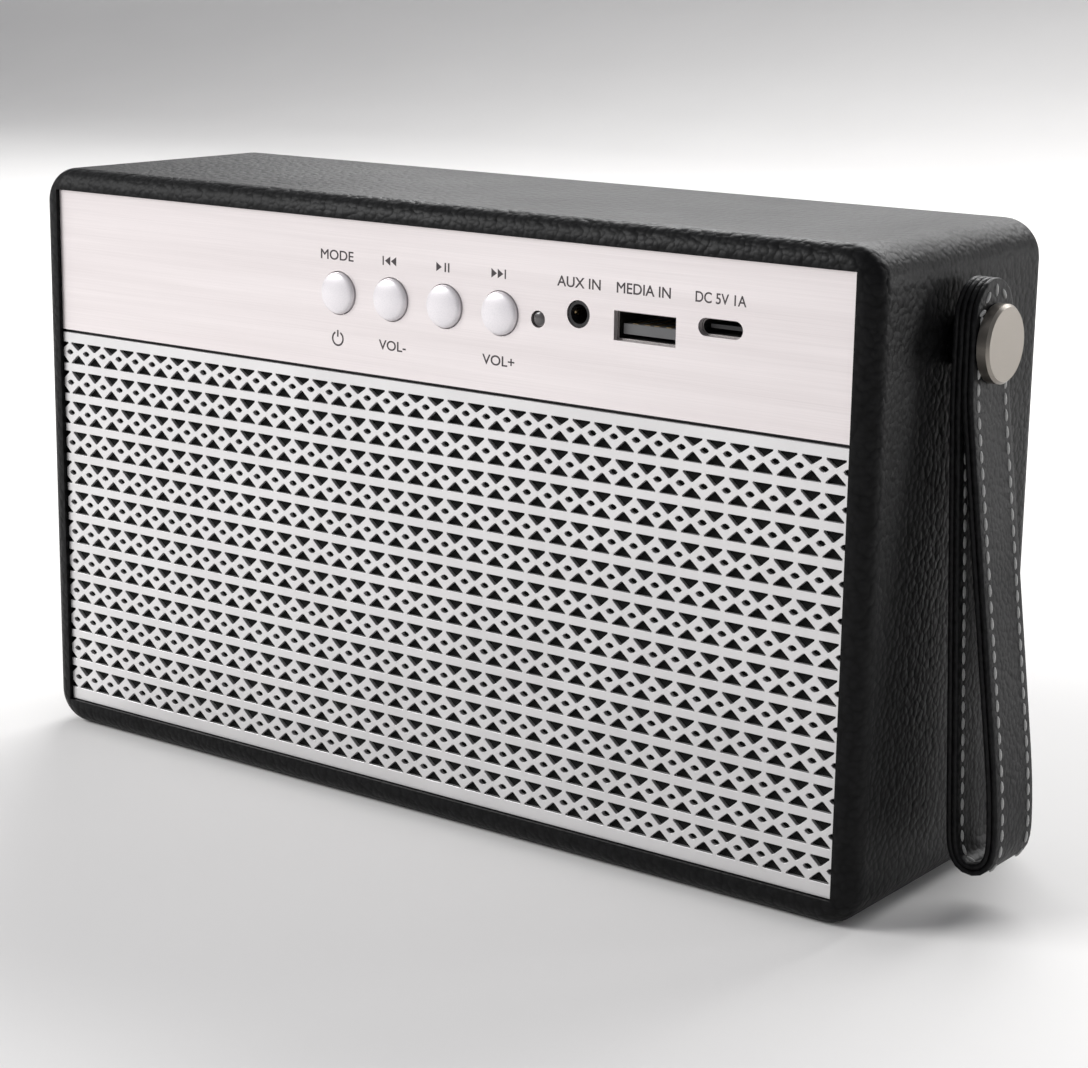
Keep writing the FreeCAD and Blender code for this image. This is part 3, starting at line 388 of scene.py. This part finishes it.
keys = {name: middle_of("button_" + name) for name in ("mode", "previous", "play", "next")}
print_word("MODE", keys["mode"].x - 0.4 * MM, upper_words_z, 8.2 * MM)
print_word("VOL-", keys["previous"].x + 0.35 * MM, lower_words_z, 6.6 * MM)
print_word("VOL+", keys["next"].x - 0.3 * MM, lower_words_z, 7.4 * MM)
print_word("AUX IN", middle_of("aux_jack").x, upper_words_z, 9.5 * MM)
print_word("MEDIA IN", middle_of("media_socket").x - 0.4 * MM, upper_words_z, 11.4 * MM)
print_word("DC 5V 1A", middle_of("charging_socket").x - 0.1 * MM, upper_words_z, 10.3 * MM)
symbol_shift = 0.4 * MM
for name, facing in (("previous", -1), ("next", 1)):
    symbol_x = keys[name].x - symbol_shift
    for place_x in (-1.25, 0.2):
        print_arrow(symbol_x + facing * place_x * MM, upper_words_z, facing)
    print_bar(symbol_x + facing * 1.5 * MM, upper_words_z, 0.3 * MM, 1.7 * MM)
print_arrow(keys["play"].x - symbol_shift - 1.2 * MM, upper_words_z, 1)
for place_x in (0.5, 1.3):
    print_bar(keys["play"].x - symbol_shift + place_x * MM, upper_words_z, 0.36 * MM, 1.7 * MM)

power_radius, power_line = 1.3 * MM, 0.36 * MM
ring_start, ring_sweep = math.radians(118), math.radians(304)
edge = [printing.verts.new((power_radius + x * power_line / 2, 0, y * ink_thickness))
        for x, y in ((-1, -1), (1, -1), (1, 1), (-1, 1))]
outline = [printing.edges.new((edge[n - 1], edge[n])) for n in range(4)]
bmesh.ops.rotate(printing, verts=edge, cent=(0, 0, 0), matrix=Matrix.Rotation(ring_start, 3, "Z"))
printed = set(printing.verts) - set(edge)
bmesh.ops.spin(printing, geom=edge + outline, cent=(0, 0, 0), axis=(0, 0, 1),
               angle=ring_sweep, steps=28, use_duplicate=False)
ring = [v for v in printing.verts if v not in printed]
bmesh.ops.holes_fill(printing, edges=[e for e in printing.edges if e.is_boundary and e.verts[0] in ring], sides=4)
power_x = keys["mode"].x - 0.3 * MM
bmesh.ops.transform(printing, verts=ring, matrix=on_panel(power_x, lower_words_z))
print_bar(power_x, lower_words_z + 1.0 * MM, power_line, 1.3 * MM)
bmesh.ops.remove_doubles(printing, verts=printing.verts[:], dist=0.0005 * MM)
bmesh.ops.recalc_face_normals(printing, faces=printing.faces[:])

print_ink, tree, shader, place = new_finish("print_ink", Specular_IOR_Level=0.3)
ink = node(tree, "ShaderNodeTexNoise", {"Vector": place, "Scale": 5000.0, "Detail": 2.0})
feed(tree, shader, Base_Color=blend_tones(tree, ink.outputs["Fac"], (0.030, 0.024, 0.026), (0.085, 0.072, 0.076)),
     Roughness=calc(tree, "MULTIPLY_ADD", ink.outputs["Fac"], 0.2, 0.5))
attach(make_piece("panel_print", printing, print_ink), "case")

# ---- keys ----
# Four round domed keys of pearl lacquered plastic stand just proud of the panel, each in its own hole.
# Each one presses a small tact switch on the board behind it.
button_pearl, tree, shader, place = new_finish("button_pearl", Metallic=0.35, Coat_Weight=0.3, Coat_Roughness=0.25)
flakes = node(tree, "ShaderNodeTexVoronoi", {"Vector": place, "Scale": 5200.0})
fleck = calc(tree, "MULTIPLY", flakes.outputs["Distance"], 0.8)
feed(tree, shader, Base_Color=blend_tones(tree, fleck, (0.80, 0.765, 0.785), (0.68, 0.655, 0.68)),
     Roughness=calc(tree, "MULTIPLY_ADD", fleck, 0.15, 0.3))
raise_surface(tree, shader, flakes.outputs["Distance"], 0.004 * MM)
switch_plastic = moulded_plastic("switch_plastic", (0.02, 0.02, 0.021), (0.04, 0.04, 0.042), 0.5)


def turned_form(cad_name, profile):
    """Spins a profile of (radius, depth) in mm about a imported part's fore-and-aft axis, from its front."""
    low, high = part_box(cad_name)
    form = bmesh.new()
    points = [form.verts.new((radius * MM, depth * MM, 0)) for radius, depth in profile]
    lines = [form.edges.new((points[n - 1], points[n])) for n in range(1, len(points))]
    bmesh.ops.spin(form, geom=points + lines, cent=(0, 0, 0), axis=(0, 1, 0),
                   angle=2 * math.pi, steps=64, use_merge=True)
    bmesh.ops.remove_doubles(form, verts=form.verts[:], dist=0.001 * MM)
    bmesh.ops.recalc_face_normals(form, faces=form.faces[:])
    bmesh.ops.translate(form, verts=form.verts[:], vec=((low.x + high.x) / 2, low.y, (low.z + high.z) / 2))
    return form


cap_profile = [(0, 0), (1.0, 0.03), (2.0, 0.12), (3.0, 0.28), (3.45, 0.4), (3.72, 0.53), (3.9, 0.72), (3.98, 0.92),
               (4.0, 1.15), (4.0, 2.65), (4.6, 2.65), (4.6, 3.65), (1.6, 3.65), (1.6, 11.6), (0, 11.6)]
for name in keys:
    cap = make_piece("key_cap_" + name, turned_form("button_" + name, cap_profile), button_pearl)
    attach(cap, "key_" + name)
    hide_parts("button_" + name)
    dress(switch_plastic, "plunger_" + name, "switch_" + name)

# ---- status light ----
# A light pipe of smoked acrylic fills its hole in the panel: its end is polished to a low dome.
# A small diffuse lamp shines into it from behind.
smoked_plastic, tree, shader, place = new_finish("smoked_plastic", Coat_Weight=0.6, Coat_Roughness=0.08)
smoke = effect(tree, moulded, Vector=place, Pits=900.0)
feed(tree, shader, Base_Color=blend_tones(tree, smoke["Tone"], (0.035, 0.030, 0.032), (0.075, 0.066, 0.068)),
     Roughness=calc(tree, "MULTIPLY_ADD", smoke["Tone"], 0.2, 0.2))
pipe_profile = [(0, 0), (0.5, 0.03), (1.0, 0.12), (1.3, 0.25), (1.45, 0.42), (1.5, 0.65), (1.5, 1.1), (2.2, 1.1),
                (2.2, 2.1), (1.5, 2.1), (1.5, 7.2), (0, 7.2)]
light_pipe = make_piece("light_pipe", turned_form("status_lens", pipe_profile), smoked_plastic)
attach(light_pipe, "case")
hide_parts("status_lens")
lamp_plastic = moulded_plastic("lamp_plastic", (0.62, 0.63, 0.62), (0.75, 0.76, 0.74), 0.3, 1200.0)
dress(lamp_plastic, "status_led")

# ---- sockets ----
# A moulded 3.5 mm jack, a wide media socket and a small oval charging socket, the last two drawn from
# plated steel strip round a plastic tongue. Their mouths sit just behind the panel's face.
jack_plastic = moulded_plastic("jack_plastic", (0.007, 0.007, 0.008), (0.016, 0.016, 0.017), 0.35)
dress(jack_plastic, "aux_jack")
tongue_plastic = moulded_plastic("tongue_plastic", (0.09, 0.09, 0.092), (0.14, 0.14, 0.142), 0.4, 1800.0)
dress(tongue_plastic, "media_tongue")
dress(jack_plastic, "charging_tongue")


def plated_steel(name, dark, light, roughness):
    """Bright plated steel, faintly drawn along its length."""
    material, tree, shader, place = new_finish(name, Metallic=1.0)
    drawn = effect(tree, brushed, Vector=place)
    feed(tree, shader, Base_Color=blend_tones(tree, drawn["Tone"], dark, light),
         Roughness=calc(tree, "MULTIPLY_ADD", drawn["Tone"], 0.15, roughness))
    raise_surface(tree, shader, drawn["Height"], 0.002 * MM)
    return material


# painted shade: the sockets' steel is coloured a dark grey, well below bright plated steel, so their rims read as
# lying in shadow
socket_steel = plated_steel("socket_steel", (0.16, 0.155, 0.15), (0.30, 0.29, 0.285), 0.3)
dress(socket_steel, "media_socket", "charging_socket", "radio_module")

contacts = bmesh.new()
jack, jack_front = middle_of("aux_jack"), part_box("aux_jack")[0].y
bmesh.ops.create_uvsphere(contacts, u_segments=16, v_segments=8, radius=MM,
                          matrix=Matrix.Translation((jack.x - 1.75 * MM, jack_front + 2.3 * MM, jack.z)) @
                          Matrix.Diagonal((0.4, 1.2, 0.6, 1)))
tongue_low, tongue_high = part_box("media_tongue")
for place_x in (-3.5, -1.0, 1.0, 3.5):
    strip = bmesh.ops.create_cube(contacts, size=MM)["verts"]
    strip_middle = (middle_of("media_tongue").x + place_x * MM, tongue_low.y + 4.4 * MM, tongue_high.z)
    bmesh.ops.transform(contacts, verts=strip, matrix=Matrix.Translation(strip_middle) @
                        Matrix.Diagonal((1.1, 7.6, 0.1, 1)))
contact_gold = plated_steel("contact_gold", (0.55, 0.40, 0.20), (0.78, 0.60, 0.34), 0.25)
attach(make_piece("socket_contacts", contacts, contact_gold), "case")

# ---- leather cover ----
# Black pebble-grained leather, wrapped and glued round the case's four sides and turned over its front
# and back edges. It is pulled tight over the corners, and creases faintly on the ends.
pebbled, takes, gives = start_effect("pebble_grain", {"Vector": None, "Grains": 800.0}, ["Height", "Crevice_Shade"])
wander = node(pebbled, "ShaderNodeTexNoise", {"Vector": takes["Vector"], "Scale": 420.0, "Detail": 2.0})
shift = node(pebbled, "ShaderNodeVectorMath", {0: wander.outputs["Color"], "Scale": 1.1 * MM}, operation="SCALE")
bent = node(pebbled, "ShaderNodeVectorMath", {0: takes["Vector"], 1: shift.outputs[0]}, operation="ADD")
cells = node(pebbled, "ShaderNodeTexVoronoi",
             {"Vector": bent.outputs[0], "Scale": takes["Grains"], "Smoothness": 0.35, "Randomness": 0.9},
             feature="SMOOTH_F1")
pores = node(pebbled, "ShaderNodeTexNoise", {"Vector": takes["Vector"], "Scale": 3800.0, "Detail": 2.0})
# painted shade: a mask of the grain's crevices, used to darken the colour between the pebbles
crevice_shade = node(pebbled, "ShaderNodeMapRange", {0: cells.outputs["Distance"], 1: 0.35, 2: 0.75}).outputs[0]
domes = calc(pebbled, "SUBTRACT", 1.0, calc(pebbled, "POWER", cells.outputs["Distance"], 1.6))
pebbled.links.new(calc(pebbled, "MULTIPLY_ADD", pores.outputs["Fac"], 0.10, domes), gives["Height"])
pebbled.links.new(crevice_shade, gives["Crevice_Shade"])

leather, tree, shader, place = new_finish("leather", Specular_IOR_Level=0.12)
grain = effect(tree, pebbled, Vector=place, Grains=780.0)
stretch = node(tree, "ShaderNodeMapping", {"Vector": place, "Scale": (14.0, 30.0, 55.0)})
creases = node(tree, "ShaderNodeTexNoise",
               {"Vector": stretch.outputs[0], "Scale": 1.0, "Detail": 5.0, "Roughness": 0.55, "Distortion": 0.4})
handled = node(tree, "ShaderNodeTexNoise", {"Vector": place, "Scale": 24.0, "Detail": 3.0}).outputs["Fac"]
# painted shade: the cover's leather is coloured darker in the grain's crevices
feed(tree, shader, Base_Color=blend_tones(tree, grain["Crevice_Shade"], (0.006, 0.006, 0.0064), (0.0025, 0.0025, 0.0027)),
     Roughness=calc(tree, "MULTIPLY_ADD", handled, 0.24, 0.34))
crease_share = 1.5
raise_surface(tree, shader, calc(tree, "MULTIPLY_ADD", creases.outputs["Fac"], crease_share, grain["Height"]),
              0.16 * MM)
dress(leather, "leather_cover")

# ---- rear cover ----
# A moulded back plate on a foam seal, held by six steel machine screws sunk in their wells.
rear_plastic = moulded_plastic("rear_plastic", (0.010, 0.010, 0.011), (0.020, 0.020, 0.021), 0.5, 1500.0, 0.05 * MM)
dress(rear_plastic, "rear_cover")
foam = fibre_finish("foam", (0.012, 0.012, 0.012), (0.04, 0.04, 0.04), 0.85, 2400.0, 0.15 * MM)
dress(foam, "rear_gasket")
screw_steel = plated_steel("screw_steel", (0.16, 0.16, 0.17), (0.34, 0.34, 0.35), 0.32)
dress(screw_steel, "rear_screws", "board_screws", "driver_screws", "strap_screw")

# ---- hand strap ----
# One long strip of two leather plies, folded into a loop so that both round ends meet under the stud.
# A row of pale thread runs along each edge and round the ends, through both plies.
strap_low, strap_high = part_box("hand_strap")
tip_low, tip_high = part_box("strap_ends")
strap_y = (strap_low.y + strap_high.y) / 2
half_width = (strap_high.y - strap_low.y) / 2
thickness = 2.1 * MM
bend_radius = 3.85 * MM
bow_radius = 124.0 * MM
outer_x = tip_high.x - thickness / 2
inner_x = tip_low.x + thickness / 2
tip_z = tip_high.z


def arc_points(centre_x, centre_z, radius, start, end, count):
    """Points along an arc in the xz plane."""
    turns = [start + (end - start) * n / count for n in range(count + 1)]
    return [Vector((centre_x + radius * math.cos(a), 0, centre_z + radius * math.sin(a))) for a in turns]


def straight_points(start, end, step=1.5 * MM):
    """Points along a straight run, without its last."""
    count = round((end - start).length / step)
    return [start.lerp(end, n / count) for n in range(count)]


fork_z = strap_high.z
bend_x = strap_high.x - thickness / 2 - bend_radius
bend_z = strap_low.z + thickness / 2 + bend_radius
bow_x = bend_x + bend_radius - bow_radius
reach = math.hypot(outer_x - bow_x, fork_z - bend_z)
bow_end = math.acos((outer_x - bow_x) / reach) - math.acos(bow_radius / reach)
bow = arc_points(bow_x, bend_z, bow_radius, bow_end, 0.0, 12)
run_up = Vector((inner_x - bend_x, 0, fork_z - bend_z))
bend_end = math.atan2(run_up.z, run_up.x) + math.acos(bend_radius / run_up.length) - 2 * math.pi
bend = arc_points(bend_x, bend_z, bend_radius, 0.0, bend_end, 12)
line = straight_points(Vector((outer_x, 0, tip_z)), Vector((outer_x, 0, fork_z)))
line += straight_points(Vector((outer_x, 0, fork_z)), bow[0]) + bow[:-1] + bend
line += straight_points(bend[-1], Vector((inner_x, 0, fork_z)))[1:]
line += straight_points(Vector((inner_x, 0, fork_z)), Vector((inner_x, 0, tip_z))) + [Vector((inner_x, 0, tip_z))]
for rounding in range(6):     # each pass eases the kinks where two runs meet
    between = [line[n] * 0.5 + (line[n - 1] + line[n + 1]) * 0.25 for n in range(1, len(line) - 1)]
    line = [line[0]] + between + [line[-1]]
marks = [0.0]
for n in range(1, len(line)):
    marks.append(marks[-1] + (line[n] - line[n - 1]).length)
strip_length = marks[-1]


def along_strap(distance):
    """The strap's middle line at a distance from its outer tip: the point and the way the outside faces."""
    n = max(k for k in range(len(marks) - 1) if marks[k] <= max(distance, 0.0))
    share = (distance - marks[n]) / (marks[n + 1] - marks[n])
    heading = (line[n + 1] - line[n]).normalized()
    return line[n].lerp(line[n + 1], share), heading, heading.cross(Vector((0, 1, 0)))


def round_tip(distance, across):
    """Draws a strip's square end in to a half round one."""
    for end, away in ((0.0, 1), (strip_length, -1)):
        u = (distance - end) * away / half_width - 1
        if u < 0:
            v = across / half_width
            return end + away * half_width * (1 + u * math.sqrt(1 - v * v / 2)), across * math.sqrt(1 - u * u / 2)
    return distance, across


def strap_ply(lift):
    """One ply, cut flat, rounded at its ends and bent along the loop, its underside this far off the middle line."""
    ply = bmesh.new()
    bmesh.ops.create_grid(ply, x_segments=150, y_segments=10, size=0.5)
    top = bmesh.ops.extrude_face_region(ply, geom=ply.faces[:], use_keep_orig=True)["geom"]
    bmesh.ops.translate(ply, verts=[v for v in top if isinstance(v, bmesh.types.BMVert)], vec=(0, 0, ply_thickness))
    for v in ply.verts:
        distance, across = round_tip((v.co.x + 0.5) * strip_length, v.co.y * 2 * half_width)
        point, heading, outside = along_strap(distance)
        v.co = point + Vector((0, strap_y + across, 0)) + outside * (v.co.z + lift)
    bmesh.ops.recalc_face_normals(ply, faces=ply.faces[:])
    rims = [e for e in ply.edges if e.is_manifold and e.calc_face_angle() > 1.0]
    bmesh.ops.bevel(ply, geom=rims, offset=0.35 * MM, affect="EDGES", segments=2, profile=0.5, material=-1)
    return ply


strap_leather, tree, shader, place = new_finish("strap_leather", Specular_IOR_Level=0.14)
grain = effect(tree, pebbled, Vector=place, Grains=950.0)
handled = node(tree, "ShaderNodeTexNoise", {"Vector": place, "Scale": 60.0, "Detail": 3.0}).outputs["Fac"]
# painted shade: the strap's leather is coloured darker in the grain's crevices
feed(tree, shader, Base_Color=blend_tones(tree, grain["Crevice_Shade"], (0.010, 0.010, 0.0105), (0.0045, 0.0045, 0.005)),
     Roughness=calc(tree, "MULTIPLY_ADD", handled, 0.2, 0.36))
raise_surface(tree, shader, grain["Height"], 0.11 * MM)

ply_thickness = thickness / 2 - 0.03 * MM
strap_pieces = []
for name, lift in (("strap_face", thickness / 2 - ply_thickness), ("strap_lining", -thickness / 2)):
    strap_pieces.append(make_piece(name, strap_ply(lift), strap_leather, sharp=50.0))
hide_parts("strap_ends", "hand_strap")

# each stitch is a short plump length of thread that dips into the leather at both ends
stitch_pitch = 2.9 * MM
stitch_inset = 2.1 * MM
stitches = bmesh.new()


def add_stitch(distance, across, turn, side_sign):
    """One stitch on a face of the strap, turned from its heading."""
    point, heading, outside = along_strap(distance)
    ahead = heading * math.cos(turn) + Vector((0, 1, 0)) * math.sin(turn)
    up = outside * side_sign
    middle = point + Vector((0, strap_y + across, 0)) + up * thickness / 2
    basis = Matrix((ahead, ahead.cross(up), up)).transposed().to_4x4()
    size = Matrix.Diagonal((1.12 * MM, 0.46 * MM, 0.32 * MM, 1))
    bmesh.ops.create_uvsphere(stitches, u_segments=8, v_segments=6, radius=1.0,
                              matrix=Matrix.Translation(middle) @ basis @ size @ Matrix.Rotation(math.pi / 2, 4, "Y"))


seam_radius = half_width - stitch_inset
for side_sign in (1, -1):
    start = half_width if side_sign > 0 else tip_z - fork_z + 2 * MM
    count = int((strip_length - 2 * start) / stitch_pitch)
    for n in range(count + 1):
        for across in (-seam_radius, seam_radius):
            add_stitch(start + n * (strip_length - 2 * start) / count, across, 0.0, side_sign)
arc_count = round(math.pi * seam_radius / stitch_pitch)
for n in range(arc_count):
    turn = math.pi * (n + 0.5) / arc_count
    add_stitch(half_width - seam_radius * math.sin(turn), -seam_radius * math.cos(turn), turn - math.pi / 2, 1)

thread_cotton, tree, shader, place = new_finish("thread_cotton", Specular_IOR_Level=0.2, Sheen_Weight=0.2)
twist = node(tree, "ShaderNodeTexNoise", {"Vector": place, "Scale": 3000.0, "Detail": 2.0}).outputs["Fac"]
feed(tree, shader, Base_Color=blend_tones(tree, twist, (0.24, 0.24, 0.24), (0.44, 0.44, 0.43)),
     Roughness=calc(tree, "MULTIPLY_ADD", twist, 0.2, 0.6))
raise_surface(tree, shader, twist, 0.05 * MM)
strap_pieces.append(make_piece("strap_stitching", stitches, thread_cotton, sharp=180.0))
for made in strap_pieces:
    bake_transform(made)

# ---- stud ----
# A turned brass stud, nickel plated and satin finished, with a chamfer round its flat face.
# Its post goes through both strap ends and is screwed from inside the case. The collar that holds the strap off the
# leather is coloured near black as painted shade, where shade falls between the strap and the case.
stud_middle = middle_of("strap_stud")
stud_nickel, tree, shader, place = new_finish("stud_nickel", Metallic=1.0)
facing = node(tree, "ShaderNodeMapping", {"Vector": place, "Location": (0, -stud_middle.y, -stud_middle.z)})
across = node(tree, "ShaderNodeSeparateXYZ", {0: facing.outputs[0]}).outputs
radius = calc(tree, "SQRT", calc(tree, "ADD", calc(tree, "POWER", across["Y"], 2.0),
                                 calc(tree, "POWER", across["Z"], 2.0)))
turning = node(tree, "ShaderNodeTexNoise", {"W": calc(tree, "MULTIPLY", radius, 9000.0), "Scale": 1.0, "Detail": 2.0},
               noise_dimensions="1D").outputs["Fac"]
nickel = blend_tones(tree, turning, (0.21, 0.192, 0.170), (0.29, 0.266, 0.238))
# painted shade: the stud's stretch between the case and the strap ends is coloured near black
collar_shade_mask = calc(tree, "LESS_THAN", across["X"], tip_low.x)
collar_painted_shade = node(tree, "ShaderNodeMix", {0: collar_shade_mask, 6: nickel, 7: (0.012, 0.012, 0.013, 1.0)}, data_type="RGBA")
feed(tree, shader, Base_Color=collar_painted_shade.outputs[2], Roughness=calc(tree, "MULTIPLY_ADD", turning, 0.12, 0.3))
raise_surface(tree, shader, turning, 0.004 * MM)
dress(stud_nickel, "strap_stud")

# ---- studio ----
# A plain pale sweep under soft lights: a key from the front left, a wide one behind for the top of the
# case and a smaller one at the right for its end.
sweep = bmesh.new()
bmesh.ops.create_grid(sweep, x_segments=8, y_segments=60, size=3.0)
curve_start, curve_radius = 1.1, 0.7
for v in sweep.verts:
    past = v.co.y - curve_start
    if past > 0:
        turn = min(past / curve_radius, math.pi / 2)
        rest = past - turn * curve_radius
        v.co.y = curve_start + curve_radius * math.sin(turn)
        v.co.z = curve_radius * (1 - math.cos(turn)) + rest
paper, tree, shader, place = new_finish("studio_paper", Specular_IOR_Level=0.2)
fibre = node(tree, "ShaderNodeTexNoise", {"Vector": place, "Scale": 9.0, "Detail": 4.0}).outputs["Fac"]
feed(tree, shader, Base_Color=blend_tones(tree, fibre, (0.78, 0.77, 0.76), (0.82, 0.81, 0.80)),
     Roughness=calc(tree, "MULTIPLY_ADD", fibre, 0.1, 0.7))
mesh = bpy.data.meshes.new("studio_floor")
sweep.to_mesh(mesh)
sweep.free()
mesh.shade_smooth()
mesh.materials.append(paper)
floor = bpy.data.objects.new("studio_floor", mesh)
bpy.context.scene.collection.objects.link(floor)

world = bpy.data.worlds.new("studio")
world.use_nodes = True
sky = world.node_tree.nodes["Background"].inputs
sky["Color"].default_value = (0.95, 0.96, 1.0, 1)
seen = node(world.node_tree, "ShaderNodeLightPath", {}).outputs["Is Camera Ray"]
world.node_tree.links.new(calc(world.node_tree, "MULTIPLY_ADD", seen, 0.45, 0.34), sky["Strength"])
bpy.context.scene.world = world
bpy.context.scene.view_settings.view_transform = "Standard"
middle = Vector((0.0, 0.0, 0.06))


def soft_light(name, place, wide, high, power):
    """A rectangular soft box that faces the radio."""
    lamp = bpy.data.lights.new(name, "AREA")
    lamp.shape = "RECTANGLE"
    lamp.size, lamp.size_y, lamp.energy = wide, high, power
    made = bpy.data.objects.new(name, lamp)
    made.location = place
    made.rotation_euler = (middle - Vector(place)).to_track_quat("-Z", "Y").to_euler()
    bpy.context.scene.collection.objects.link(made)


soft_light("key_light", (-1.05, -0.95, 0.85), 0.7, 0.7, 22.0)
soft_light("back_light", (-0.2, 1.0, 0.9), 1.5, 0.6, 22.0)
soft_light("end_light", (1.0, 1.1, 0.25), 0.3, 0.4, 4.0)

lens = bpy.data.cameras.new("camera")
lens.lens, lens.sensor_width = 85.0, 36.0
camera = bpy.data.objects.new("camera", lens)
yaw, pitch, roll = 0.636, 0.232, 0.0158
ahead = Vector((-math.sin(yaw) * math.cos(pitch), math.cos(yaw) * math.cos(pitch), -math.sin(pitch)))
right = Vector((math.cos(yaw), math.sin(yaw), 0))
up = right.cross(ahead)
right, up = right * math.cos(roll) + up * math.sin(roll), up * math.cos(roll) - right * math.sin(roll)
camera.matrix_world = Matrix.Translation((0.30248, -0.39711, 0.16877)) @ Matrix(
    (right, up, -ahead)).transposed().to_4x4()
bpy.context.scene.collection.objects.link(camera)
bpy.context.scene.camera = camera
